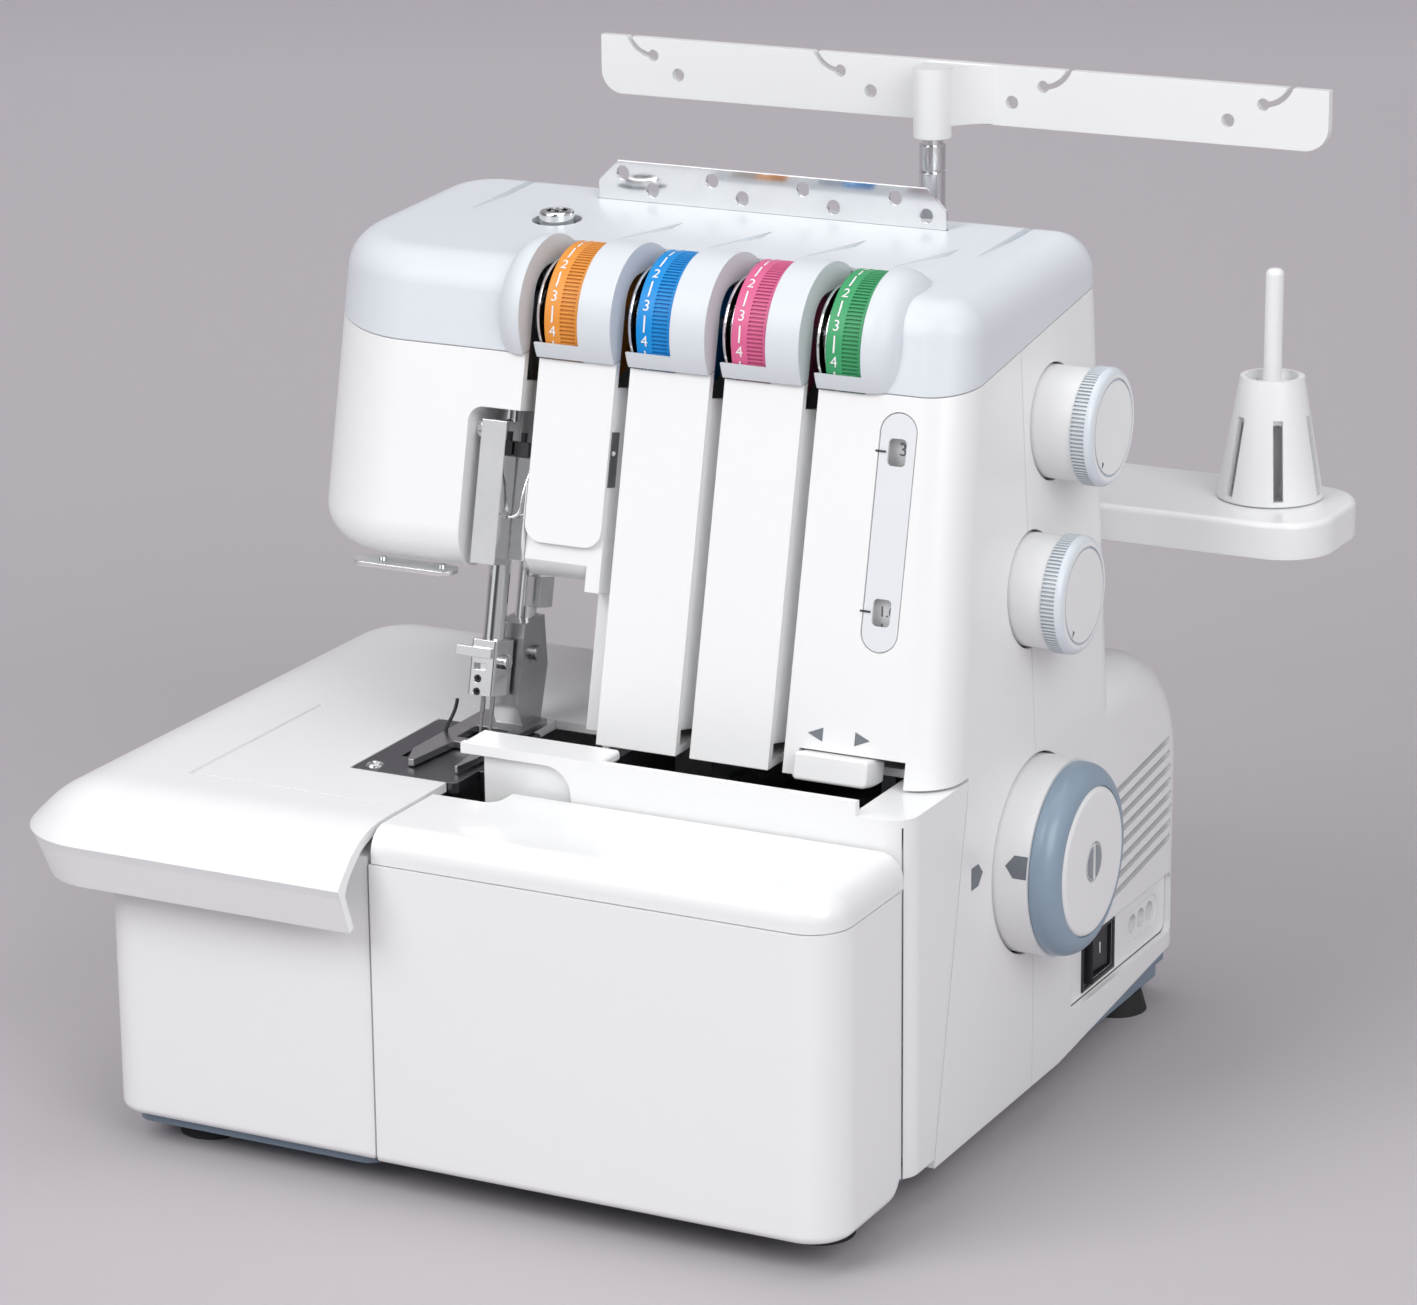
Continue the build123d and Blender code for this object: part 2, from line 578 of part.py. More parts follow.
# Cast frame: base, two bearing walls, pillar post and the arm that guides the bars
with BuildPart() as machine_frame:
    with BuildSketch(Plane.XY.offset(BASE_Z)):
        with Locations((-20, -11.5)):
            Rectangle(170, 99)
    extrude(amount=4)
    for wall_x, low_y, high_y, top_z in ((-36, -2, 40, 112), (66, -4, 62, 200), (66, 22, 62, 246)):
        with BuildSketch(Plane.YZ.offset(wall_x)):
            with BuildLine():
                Polyline((low_y, 14), (low_y, top_z), (high_y, top_z), (high_y, 14), close=True)
            make_face()
        extrude(amount=5)
    with BuildSketch(Plane.XY.offset(14)):
        with Locations((-9, 52)):
            Rectangle(10, 36)
    extrude(amount=222)
    with BuildSketch(Plane.XY.offset(14)):
        with Locations((-99, -2)):
            Rectangle(12, 50)
    extrude(amount=94)
    with BuildSketch(Plane.XY.offset(236)):
        with Locations((-55, 43)):
            Rectangle(104, 26)
        with Locations((-60, 13)):
            Rectangle(18, 60)
    extrude(amount=20)
    with BuildSketch(Plane.XY.offset(236)):
        with Locations((31, 52)):
            Rectangle(72, 12)
    extrude(amount=8)
    with BuildSketch(Plane.XY.offset(253)):
        for rod_x in (-51.5, 73.5):
            with Locations((rod_x, 8)):
                Rectangle(3, 44)
    extrude(amount=11)
    with BuildSketch(Plane.XY.offset(240)):
        with Locations((71, 26)):
            Rectangle(8, 8)
    extrude(amount=14)
    with BuildSketch(Plane.XZ.offset(2)):
        with Locations((-18, 52)):
            Rectangle(36, 44)
    extrude(amount=5)
    with BuildSketch(Plane.XZ.offset(60)):
        with Locations(LOOPER_PIVOT, KNIFE_PIVOT):
            Circle(3)
    extrude(amount=-70, mode=Mode.SUBTRACT)
    with BuildSketch(across(-60, DIAL_Y, DIAL_Z)):
        Circle(3)
    extrude(amount=150, mode=Mode.SUBTRACT)
    with BuildSketch(bar_plane(NEEDLE_X, NEEDLE_Y, 226)):
        Circle(3.65)
    extrude(amount=60, mode=Mode.SUBTRACT)
    with BuildSketch(bar_plane(PRESSER_X, NEEDLE_Y + PRESSER_SETBACK, 226)):
        Circle(3.65)
    extrude(amount=60, mode=Mode.SUBTRACT)
    with BuildSketch(across(-60, WHEEL_Y, WHEEL_Z)):
        Circle(6.05)
    extrude(amount=160, mode=Mode.SUBTRACT)
    with BuildSketch(across(60, STITCH_Y, STITCH_Z)):
        Circle(5.05)
    extrude(amount=20, mode=Mode.SUBTRACT)
    with BuildSketch(across(60, FEED_Y, FEED_Z)):
        Circle(5.05)
    extrude(amount=20, mode=Mode.SUBTRACT)
    with BuildSketch(Plane.XY.offset(230)):
        with Locations((-67.6, 31.5)):
            Circle(3.1)
    extrude(amount=40, mode=Mode.SUBTRACT)
hand_in(machine_frame, "machine_frame")

# Needle plate with needle slot, feed slots and a screw hole
with BuildPart() as needle_plate:
    with BuildSketch(Plane.XY.offset(117.5)):
        with Locations((-65, -52)):
            RectangleRounded(38.4, 56, 2)
        with Locations((NEEDLE_X, NEEDLE_Y - 0.5)):
            SlotOverall(13, 5, mode=Mode.SUBTRACT)
        with Locations((-74, -48), (-68, -48)):
            Rectangle(3.6, 30, mode=Mode.SUBTRACT)
        with Locations((-78.6, -74.8)):
            Circle(2.2, mode=Mode.SUBTRACT)
    extrude(amount=3.5)
hand_in(needle_plate, "needle_plate")

with BuildPart() as lower_knife:
    with BuildSketch(Plane.YZ.offset(-45.6)):
        with BuildLine():
            Polyline((-66, 100), (-66, 121), (-56, 121), (-56, 112), (-60, 100), close=True)
        make_face()
    extrude(amount=2.2)
hand_in(lower_knife, "lower_knife")

# Mirror plate with eight thread holes standing in the top cover
with BuildPart() as thread_guide_plate:
    with BuildSketch(Plane.XZ.offset(-61.4)):
        with BuildLine():
            Polyline((-68, 272), (-68, 286), (-61, 293), (51, 293), (58, 286), (58, 272), close=True)
        make_face()
        for index in range(4):
            with Locations((-59 + 33 * index, 289), (-48 + 33 * index, 284)):
                Circle(2.3, mode=Mode.SUBTRACT)
    extrude(amount=-1.2)
hand_in(thread_guide_plate, "thread_guide_plate")

with BuildPart() as window_strip:
    with BuildSketch(PANEL.offset(-1.1)):
        with Locations((83.6, rise(207))):
            SlotOverall(73.4, 12, rotation=90)
        for window_z in (231, 183):
            with Locations((83.6, rise(window_z))):
                RectangleRounded(6, 8.4, 1.5, mode=Mode.SUBTRACT)
    extrude(amount=0.9)
hand_in(window_strip, "window_strip")

# Terminal panel behind the side recess, with the switch hole and the inlet hole
with BuildPart() as terminal_panel:
    with BuildSketch(Plane.YZ.offset(SIDE_X - 5)):
        with Locations((92.5, 36)):
            RectangleRounded(87.4, 21.4, 3.7)
        with Locations((77, 36)):
            Rectangle(24, 15, mode=Mode.SUBTRACT)
        with Locations((116, 36)):
            RectangleRounded(27, 11, 5, mode=Mode.SUBTRACT)
    extrude(amount=2.4)
    with BuildSketch(Plane.YZ.offset(SIDE_X - 14)):
        with Locations((77, 36)):
            Rectangle(27, 18)
            Rectangle(24, 15, mode=Mode.SUBTRACT)
    extrude(amount=9)
hand_in(terminal_panel, "terminal_panel")

with BuildPart() as inlet_socket:
    with BuildSketch(Plane.YZ.offset(SIDE_X - 16)):
        with Locations((116, 36)):
            RectangleRounded(27, 11, 5)
    extrude(amount=13)
    with BuildSketch(Plane.YZ.offset(SIDE_X - 13)):
        with Locations((108.5, 36), (116, 36), (123.5, 36)):
            Circle(3.3)
    extrude(amount=12, mode=Mode.SUBTRACT)
    with Locations((SIDE_X - 10.5, 108.5, 36), (SIDE_X - 10.5, 116, 36), (SIDE_X - 10.5, 123.5, 36)):
        Cylinder(1.2, 6, rotation=(0, 90, 0))
hand_in(inlet_socket, "inlet_socket")

# Motor, its pulley and the belt to the main shaft
MOTOR_Y = 105.0
MOTOR_Z = 66.0
with BuildPart() as motor_body:
    with BuildSketch(across(-6, MOTOR_Y, MOTOR_Z)):
        Circle(30)
    extrude(amount=64)
    fillet(motor_body.edges().filter_by(GeomType.CIRCLE), 5)
    with BuildSketch(across(57, MOTOR_Y, MOTOR_Z)):
        Circle(8)
    extrude(amount=5)
    with BuildSketch(Plane.XY.offset(15)):
        with Locations((26, MOTOR_Y)):
            Rectangle(40, 30)
    extrude(amount=24)
    with BuildSketch(across(50, MOTOR_Y, MOTOR_Z)):
        Circle(3.05)
    extrude(amount=20, mode=Mode.SUBTRACT)
hand_in(motor_body, "motor_body")

with BuildPart() as motor_pulley:
    with BuildSketch(across(51, MOTOR_Y, MOTOR_Z)):
        Circle(3)
    extrude(amount=42)
    with BuildSketch(across(78, MOTOR_Y, MOTOR_Z)):
        Circle(11)
    extrude(amount=14)
    with BuildSketch(across(80, MOTOR_Y, MOTOR_Z)):
        Circle(14)
        Circle(9, mode=Mode.SUBTRACT)
    extrude(amount=10, mode=Mode.SUBTRACT)
hand_in(motor_pulley, "motor_pulley")

with BuildPart() as drive_belt:
    with BuildSketch(Plane.YZ.offset(81)):
        with Locations((WHEEL_Y, WHEEL_Z)):
            Circle(25.4)
        with Locations((MOTOR_Y, MOTOR_Z)):
            Circle(11.4)
        make_hull()
    extrude(amount=8)
    with BuildSketch(Plane.YZ.offset(80)):
        with Locations((WHEEL_Y, WHEEL_Z)):
            Circle(23.4)
        with Locations((MOTOR_Y, MOTOR_Z)):
            Circle(9.4)
        make_hull()
    extrude(amount=10, mode=Mode.SUBTRACT)
hand_in(drive_belt, "drive_belt")

# Handwheel: main shaft with its belt pulley, white drum and hub, rounded grip ring
with BuildPart() as main_shaft:
    with BuildSketch(across(-42, WHEEL_Y, WHEEL_Z)):
        Circle(6)
    extrude(amount=158)
    with BuildSketch(across(78, WHEEL_Y, WHEEL_Z)):
        Circle(26)
    extrude(amount=14)
    with BuildSketch(across(80, WHEEL_Y, WHEEL_Z)):
        Circle(28)
        Circle(23, mode=Mode.SUBTRACT)
    extrude(amount=10, mode=Mode.SUBTRACT)
    for crank_x in (-41, 2):
        with BuildSketch(across(crank_x, WHEEL_Y + 4, WHEEL_Z)):
            Circle(11)
        extrude(amount=4)
hand_in(main_shaft, "main_shaft")

with BuildPart() as handwheel_drum:
    with BuildSketch(across(98, WHEEL_Y, WHEEL_Z)):
        Circle(32)
    extrude(amount=23.5)
    with BuildSketch(across(97, WHEEL_Y, WHEEL_Z)):
        Circle(29)
        Circle(11, mode=Mode.SUBTRACT)
    extrude(amount=17, mode=Mode.SUBTRACT)
    with BuildSketch(across(118, WHEEL_Y, WHEEL_Z)):
        Circle(24.4)
    extrude(amount=13)
    fillet(middle_at(handwheel_drum.edges(), x=131, reach=0.5), 2)
    with BuildSketch(across(129.2, WHEEL_Y, WHEEL_Z)):
        Circle(6.6)
        Circle(5.8, mode=Mode.SUBTRACT)
        Rectangle(2, 10.5)
    extrude(amount=3, mode=Mode.SUBTRACT)
    with BuildSketch(across(90, WHEEL_Y, WHEEL_Z)):
        Circle(6)
    extrude(amount=26, mode=Mode.SUBTRACT)
hand_in(handwheel_drum, "handwheel_drum")

with BuildPart() as handwheel_ring:
    with BuildSketch(across(121.5, WHEEL_Y, WHEEL_Z)):
        Circle(31.2)
    extrude(amount=8.8)
    fillet(middle_at(handwheel_ring.edges(), x=130.3, reach=0.5), 6.4)
    fillet(middle_at(handwheel_ring.edges(), x=121.5, reach=0.5), 0.8)
    with BuildSketch(across(118, WHEEL_Y, WHEEL_Z)):
        Circle(24.4)
    extrude(amount=14, mode=Mode.SUBTRACT)
hand_in(handwheel_ring, "handwheel_ring")


def setting_knob(y, z, shaft_end):
    """Drum, knurled grip and inset face of a side knob, on its shaft."""
    with BuildPart() as knob:
        with BuildSketch(across(96, y, z)):
            Circle(18)
        extrude(amount=22.5)
        with BuildSketch(across(118.5, y, z)):
            Circle(18.9)
        extrude(amount=7)
        fillet(middle_at(knob.edges(), x=125.5, reach=0.5), 2.6)
        with BuildSketch(across(118.6, y, z)):
            with PolarLocations(18.9, 90):
                Rectangle(1.0, 0.7)
        extrude(amount=4.4, mode=Mode.SUBTRACT)
        with BuildSketch(across(124.7, y, z)):
            Circle(15.6)
            Circle(14.9, mode=Mode.SUBTRACT)
        extrude(amount=2, mode=Mode.SUBTRACT)
        with BuildSketch(across(shaft_end, y, z)):
            Circle(5)
        extrude(amount=96 - shaft_end)
    return knob


def scale_sector(y, z, reach, tilt):
    """Arm with a curved number rim that shows behind a window of the front panel."""
    with BuildPart() as sector:
        with BuildSketch(across(79, y, z)):
            Circle(reach)
            Circle(reach - 2.5, mode=Mode.SUBTRACT)
            with BuildLine():
                Polyline((0, 0), (-90, tilt - 23), (-90, tilt + 23), close=True)
            make_face(mode=Mode.INTERSECT)
            with Locations((-reach / 2, tilt * reach / 180)):
                Rectangle(reach - 2, 7)
            Circle(9)
            Circle(5.05, mode=Mode.SUBTRACT)
        extrude(amount=9)
    return sector


stitch_length_knob = setting_knob(STITCH_Y, STITCH_Z, 60)
hand_in(stitch_length_knob, "stitch_length_knob")
stitch_length_sector = scale_sector(STITCH_Y, STITCH_Z, 67, 4)
hand_in(stitch_length_sector, "stitch_length_sector")
differential_knob = setting_knob(FEED_Y, FEED_Z, 60)
hand_in(differential_knob, "differential_knob")
differential_sector = scale_sector(FEED_Y, FEED_Z, 56.7, 4)
hand_in(differential_sector, "differential_sector")

# Four tension dials on one rod, with polished disc pairs beside them
with BuildPart() as tension_discs:
    with BuildSketch(across(-54, DIAL_Y, DIAL_Z)):
        Circle(3)
    extrude(amount=130)
    for slot in SLOT_X:
        for disc_x in (0.4, 3.2):
            with BuildSketch(across(slot + disc_x, DIAL_Y, DIAL_Z)):
                Circle(17)
            extrude(amount=0.9)
        with BuildSketch(across(slot + 0.4, DIAL_Y, DIAL_Z)):
            Circle(6)
        extrude(amount=4.8)
hand_in(tension_discs, "tension_discs")

for number, slot in enumerate(SLOT_X, start=1):
    with BuildPart() as tension_dial:
        with BuildSketch(across(slot + 6, DIAL_Y, DIAL_Z)):
            Circle(DIAL_R)
        extrude(amount=11.7)
        with BuildSketch(across(slot + 11.5, DIAL_Y, DIAL_Z)):
            with PolarLocations(DIAL_R, 108):
                Rectangle(0.9, 0.65)
        extrude(amount=5.2, mode=Mode.SUBTRACT)
        with BuildSketch(across(slot + 5, DIAL_Y, DIAL_Z)):
            Circle(3.05)
        extrude(amount=14, mode=Mode.SUBTRACT)
    hand_in(tension_dial, f"tension_dial_{number}")

# Needle bar, clamp and two needles, drawn at the bottom of the stroke
with BuildPart() as needle_bar:
    with BuildSketch(bar_plane(NEEDLE_X, NEEDLE_Y, 147)):
        Circle(3.6)
    extrude(amount=101)
hand_in(needle_bar, "needle_bar")

with BuildPart() as needle_clamp:
    with BuildSketch(bar_plane(NEEDLE_X, NEEDLE_Y, 136)):
        Rectangle(9.4, 12)
    extrude(amount=18)
    fillet(needle_clamp.edges().filter_by(Axis(origin=(0, 0, 0), direction=UP)), 1)
    with BuildSketch(bar_plane(NEEDLE_X - 3.2, NEEDLE_Y - 5, 149)):
        Rectangle(13, 4)
    extrude(amount=3.2)
    with BuildSketch(bar_plane(NEEDLE_X, NEEDLE_Y, 147)):
        Circle(3.6)
    extrude(amount=20, mode=Mode.SUBTRACT)
    with BuildSketch(bar_plane(NEEDLE_X, NEEDLE_Y, 130)):
        with Locations((-NEEDLE_GAP / 2, 0), (NEEDLE_GAP / 2, 0)):
            Circle(0.8)
    extrude(amount=11, mode=Mode.SUBTRACT)
    front_of_clamp = Plane(origin=(NEEDLE_X, NEEDLE_Y - 6 + 19 * SLOPE, 142), x_dir=(1, 0, 0), z_dir=OUTWARD)
    with BuildSketch(front_of_clamp.offset(2)):
        with Locations((-1.2, 0.6), (-1.2, -3.6)):
            Circle(1.3)
        with Locations((-0.8, 4.6)):
            Rectangle(4.4, 2)
    extrude(amount=-4.5, mode=Mode.SUBTRACT)
    with BuildSketch(across(NEEDLE_X + 4.7, NEEDLE_Y + 24 * SLOPE, 147)):
        Circle(2.4)
    extrude(amount=2)
    with BuildSketch(across(NEEDLE_X + 6, NEEDLE_Y + 24 * SLOPE, 147)):
        Rectangle(0.7, 5)
    extrude(amount=2, mode=Mode.SUBTRACT)
hand_in(needle_clamp, "needle_clamp")

with BuildPart() as needles:
    with BuildSketch(bar_plane(NEEDLE_X, NEEDLE_Y, 112)):
        with Locations((-NEEDLE_GAP / 2, 0), (NEEDLE_GAP / 2, 0)):
            Circle(0.5)
    extrude(amount=22)
    with BuildSketch(bar_plane(NEEDLE_X, NEEDLE_Y, 130)):
        with Locations((-NEEDLE_GAP / 2, 0), (NEEDLE_GAP / 2, 0)):
            Circle(0.8)
    extrude(amount=10.6)
    with BuildSketch(bar_plane(NEEDLE_X, NEEDLE_Y, 112)):
        with Locations((-NEEDLE_GAP / 2, 0), (NEEDLE_GAP / 2, 0)):
            Circle(0.5)
    extrude(amount=-5, taper=5)
hand_in(needles, "needles")

# Presser bar and foot
with BuildPart() as presser_bar:
    with BuildSketch(bar_plane(PRESSER_X, NEEDLE_Y + PRESSER_SETBACK, 136)):
        Circle(3.6)
    extrude(amount=125)
    with BuildSketch(bar_plane(PRESSER_X, NEEDLE_Y + PRESSER_SETBACK, 214)):
        Rectangle(12, 10)
    extrude(amount=9)
    with BuildSketch(bar_plane(PRESSER_X + 3, NEEDLE_Y + PRESSER_SETBACK + 1, 160)):
        Rectangle(7, 9)
    extrude(amount=10)
hand_in(presser_bar, "presser_bar")

with BuildPart() as presser_foot:
    with BuildSketch(Plane.XY.offset(121.6)):
        with BuildLine():
            Polyline((-72, -16), (-72, -62), (-68, -72), (-66, -72), (-64, -50), (-53, -50), (-51, -72),
                     (-50, -72), (-48.5, -62), (-48.5, -16), close=True)
        make_face()
        with Locations((NEEDLE_X, NEEDLE_Y)):
            Rectangle(13, 13, mode=Mode.SUBTRACT)
    extrude(amount=2.2)
    with BuildSketch(Plane.YZ.offset(PRESSER_X - 5)):
        with BuildLine():
            Polyline((-29, 131), (-23, 157), (-10, 157), (-8.5, 140), (-14, 123), (-26, 123), close=True)
        make_face()
    extrude(amount=10)
    with BuildSketch(bar_plane(PRESSER_X, NEEDLE_Y + PRESSER_SETBACK, 136)):
        Circle(3.6)
    extrude(amount=24, mode=Mode.SUBTRACT)
    with BuildSketch(across(PRESSER_X + 5, -17, 146)):
        Circle(2.6)
    extrude(amount=1.8)
hand_in(presser_foot, "presser_foot")

# Lever at the back of the head that raises the foot
with BuildPart() as presser_lifter:
    with BuildSketch(Plane.YZ.offset(-76)):
        with BuildLine():
            Polyline((54, 192), (55, 170), (52, 154), (56, 150), (62, 153), (65, 170), (66, 192),
                     close=True)
        make_face()
        with Locations((60, 192)):
            Circle(8)
            Circle(3.05, mode=Mode.SUBTRACT)
    extrude(amount=7)
hand_in(presser_lifter, "presser_lifter")

with BuildPart() as lifter_pin:
    with BuildSketch(across(-82, 60, 192)):
        Circle(3)
    extrude(amount=19)
    with BuildSketch(Plane.YZ.offset(-84)):
        with BuildLine():
            Polyline((54, 188), (54, 233), (66, 233), (66, 188), close=True)
        make_face()
    extrude(amount=4)
    with BuildSketch(Plane.YZ.offset(-84)):
        with BuildLine():
            Polyline((44, 236), (44, 230), (66, 230), (66, 236), close=True)
        make_face()
    extrude(amount=4)
hand_in(lifter_pin, "lifter_pin")

# Loopers, knives and feed teeth under the needle plate
with BuildPart() as looper_pivots:
    with BuildSketch(Plane.XZ.offset(56)):
        with Locations(LOOPER_PIVOT, KNIFE_PIVOT):
            Circle(3)
    extrude(amount=-58)
hand_in(looper_pivots, "looper_pivots")

with BuildPart() as lower_looper:
    with BuildSketch(Plane.XZ.offset(34)):
        with BuildLine():
            Polyline((-29, 40), (-38, 92), (-40, 100), (-68, 106), (-74, 109), (-68, 109.6), (-38, 105),
                     (-32, 96), (-21, 40), close=True)
        make_face()
        with Locations(LOOPER_PIVOT):
            Circle(7)
            Circle(3.05, mode=Mode.SUBTRACT)
    extrude(amount=-3)
hand_in(lower_looper, "lower_looper")

with BuildPart() as upper_looper:
    with BuildSketch(Plane.XZ.offset(52)):
        with BuildLine():
            Polyline((-11, 60), (-30, 92), (-40, 102), (-47, 112), (-44, 111), (-36, 104), (-26, 95),
                     (-2, 66), close=True)
        make_face()
        with Locations(KNIFE_PIVOT):
            Circle(7)
            Circle(3.05, mode=Mode.SUBTRACT)
    extrude(amount=-3)
hand_in(upper_looper, "upper_looper")

with BuildPart() as upper_knife:
    with BuildSketch(Plane.YZ.offset(-43)):
        with BuildLine():
            Polyline((-65, 120), (-65, 128), (-57, 130), (-57, 119), close=True)
        make_face()
    extrude(amount=2)
    with BuildSketch(Plane.YZ.offset(-41)):
        with BuildLine():
            Polyline((-64, 90), (-64, 129), (-58, 129), (-58, 90), close=True)
        make_face()
    extrude(amount=8)
hand_in(upper_knife, "upper_knife")

with BuildPart() as feed_dogs:
    with BuildSketch(Plane.XY.offset(111)):
        with Locations((-71, -48)):
            Rectangle(12, 30)
    extrude(amount=5)
    with BuildSketch(Plane.XY.offset(116)):
        with Locations((-74, -48), (-68, -48)):
            Rectangle(2.8, 28)
    extrude(amount=4.2)
    with BuildSketch(Plane.XY.offset(120.6)):
        for tooth in range(9):
            with Locations((-71, -60 + 3 * tooth)):
                Rectangle(12, 1.2)
    extrude(amount=-1.2, mode=Mode.SUBTRACT)
hand_in(feed_dogs, "feed_dogs")

# Polished guards: channel in the needle recess and thread plate under the head
with BuildPart() as thread_guards:
    with BuildSketch(PANEL.offset(-12)):
        with Locations((-58, rise(204))):
            Rectangle(9, 46)
    extrude(amount=9)
    with BuildSketch(PANEL.offset(-13)):
        with Locations((-58, rise(204))):
            Rectangle(6.4, 50)
    extrude(amount=8.6, mode=Mode.SUBTRACT)
    with BuildSketch(PANEL.offset(-12)):
        with Locations((-64, rise(224))):
            Rectangle(4, 3)
    extrude(amount=6)
    with BuildSketch(Plane.XY.offset(175.2)):
        with Locations((-88.3, -36)):
            RectangleRounded(37.4, 9, 4)
    extrude(amount=1.4)
    with Locations((-98, -34, 176.8), (-76, -34, 176.8)):
        Cylinder(1.4, 0.8)
hand_in(thread_guards, "thread_guards")

# Small controls
with BuildPart() as rolled_hem_slider:
    with BuildSketch(PANEL.offset(-7)):
        with Locations((74, rise(134.9))):
            RectangleRounded(25, 8.8, 1.5)
    extrude(amount=13)
    fillet(rolled_hem_slider.faces().sort_by(Axis.Y)[0].edges(), 1)
    with BuildSketch(Plane.XY.offset(120)):
        with Locations((74, -50)):
            Rectangle(40, 30)
    extrude(amount=10.9, mode=Mode.SUBTRACT)
hand_in(rolled_hem_slider, "rolled_hem_slider")

with BuildPart() as power_rocker:
    with BuildSketch(Plane.XY.offset(36)):
        with BuildLine():
            Polyline((99, 67), (110.4, 66.4), (105.6, 77), (106.6, 87.6), (99, 87), close=True)
        make_face()
    extrude(amount=6.9, both=True)
hand_in(power_rocker, "power_rocker")

with BuildPart() as pressure_knob:
    with BuildSketch(Plane.XY.offset(258)):
        with Locations((-67.6, 31.5)):
            Circle(5.8)
    extrude(amount=23.4)
    fillet(middle_at(pressure_knob.edges(), z=281.4, reach=0.5), 1.2)
    with BuildSketch(Plane.XY.offset(278)):
        with Locations((-67.6, 31.5)):
            Circle(3.6)
    extrude(amount=8, mode=Mode.SUBTRACT)
    with BuildSketch(Plane.XY.offset(240)):
        with Locations((-67.6, 31.5)):
            Circle(3)
    extrude(amount=19)
hand_in(pressure_knob, "pressure_knob")

# Spool stand: tray, pins, two-part pole, guide bar and four slotted cones
with BuildPart() as spool_tray:
    with BuildSketch(Plane.XY.offset(TRAY_Z - 12)):
        with Locations((POLE_X, 113.8)):
            RectangleRounded(290, 53.4, 18)
    extrude(amount=12)
    fillet(spool_tray.faces().sort_by(Axis.Z)[-1].edges(), 2)
    with BuildSketch(Plane.XY.offset(TRAY_Z - 13)):
        with Locations((POLE_X, 113.8)):
            RectangleRounded(285, 48.4, 15.5)
    extrude(amount=10.5, mode=Mode.SUBTRACT)
    with BuildSketch(Plane.XY.offset(TRAY_Z - 12)):
        with Locations((POLE_X, 100)):
            Rectangle(60, 29.4)
        with Locations((POLE_X, POLE_Y)):
            Circle(9)
        for pin_x in PIN_X:
            with Locations((pin_x, PIN_Y)):
                Circle(6)
    extrude(amount=11)
    with BuildSketch(Plane.XY.offset(TRAY_Z - 10)):
        with Locations((POLE_X, POLE_Y)):
            Circle(4.5)
        for pin_x in PIN_X:
            with Locations((pin_x, PIN_Y)):
                Circle(3)
    extrude(amount=20, mode=Mode.SUBTRACT)
hand_in(spool_tray, "spool_tray")

with BuildPart() as spool_pins:
    for pin_x in PIN_X:
        with BuildSketch(Plane.XY.offset(TRAY_Z - 10)):
            with Locations((pin_x, PIN_Y)):
                Circle(3)
        extrude(amount=86)
    fillet(middle_at(spool_pins.edges(), z=TRAY_Z + 76, reach=0.5), 2)
hand_in(spool_pins, "spool_pins")

with BuildPart() as pole_lower_tube:
    with BuildSketch(Plane.XY.offset(TRAY_Z - 10)):
        with Locations((POLE_X, POLE_Y)):
            Circle(4.5)
    extrude(amount=110)
    with BuildSketch(Plane.XY.offset(TRAY_Z - 8)):
        with Locations((POLE_X, POLE_Y)):
            Circle(3.55)
    extrude(amount=120, mode=Mode.SUBTRACT)
hand_in(pole_lower_tube, "pole_lower_tube")

with BuildPart() as pole_upper_tube:
    with BuildSketch(Plane.XY.offset(TRAY_Z + 6)):
        with Locations((POLE_X, POLE_Y)):
            Circle(3.5)
    extrude(amount=126)
    with BuildSketch(Plane.XY.offset(289)):
        with Locations((POLE_X, POLE_Y)):
            Circle(4.5)
    extrude(amount=8)
hand_in(pole_upper_tube, "pole_upper_tube")

with BuildPart() as guide_bar:
    with BuildSketch(Plane.XZ.offset(-POLE_Y - 10)):
        with Locations((POLE_X + 2.5, 313)):
            blank = Rectangle(263, 20)
        fillet(blank.vertices().sort_by(Axis.Y)[:2], 8)
        fillet(blank.vertices().sort_by(Axis.Y)[-2:], 1.5)
        for hook_x, start in ((-109, 180), (-38.5, 180), (35, 270), (111.7, 270)):
            with Locations((POLE_X + hook_x, 317)):
                Circle(2, mode=Mode.SUBTRACT)
            with BuildLine():
                outer = CenterArc((POLE_X + hook_x, 327), 10.9, start, 90)
                inner = CenterArc((POLE_X + hook_x, 327), 9.1, start, 90)
                Line(outer @ 0, inner @ 0)
                Line(outer @ 1, inner @ 1)
            make_face(mode=Mode.SUBTRACT)
        for hole_x in (-99.5, -27.3, 24, 99.7):
            with Locations((POLE_X + hole_x, 311)):
                Circle(2.2, mode=Mode.SUBTRACT)
    extrude(amount=-3.4)
    with BuildSketch(Plane.XY.offset(299.5)):
        with Locations((POLE_X, POLE_Y)):
            Circle(6.4)
    extrude(amount=23.3)
    with BuildSketch(Plane.XY.offset(303.4)):
        with BuildLine():
            Polyline((POLE_X - 6.4, POLE_Y), (POLE_X - 6.4, POLE_Y + 11), (POLE_X + 20.5, POLE_Y + 11))
            Spline((POLE_X + 20.5, POLE_Y + 11), (POLE_X + 12, POLE_Y + 7), (POLE_X + 6.4, POLE_Y))
            Line((POLE_X + 6.4, POLE_Y), (POLE_X - 6.4, POLE_Y))
        make_face()
    extrude(amount=19.2)
    with BuildSketch(Plane.XY.offset(290)):
        with Locations((POLE_X, POLE_Y)):
            Circle(3.55)
    extrude(amount=30.2, mode=Mode.SUBTRACT)
hand_in(guide_bar, "guide_bar")

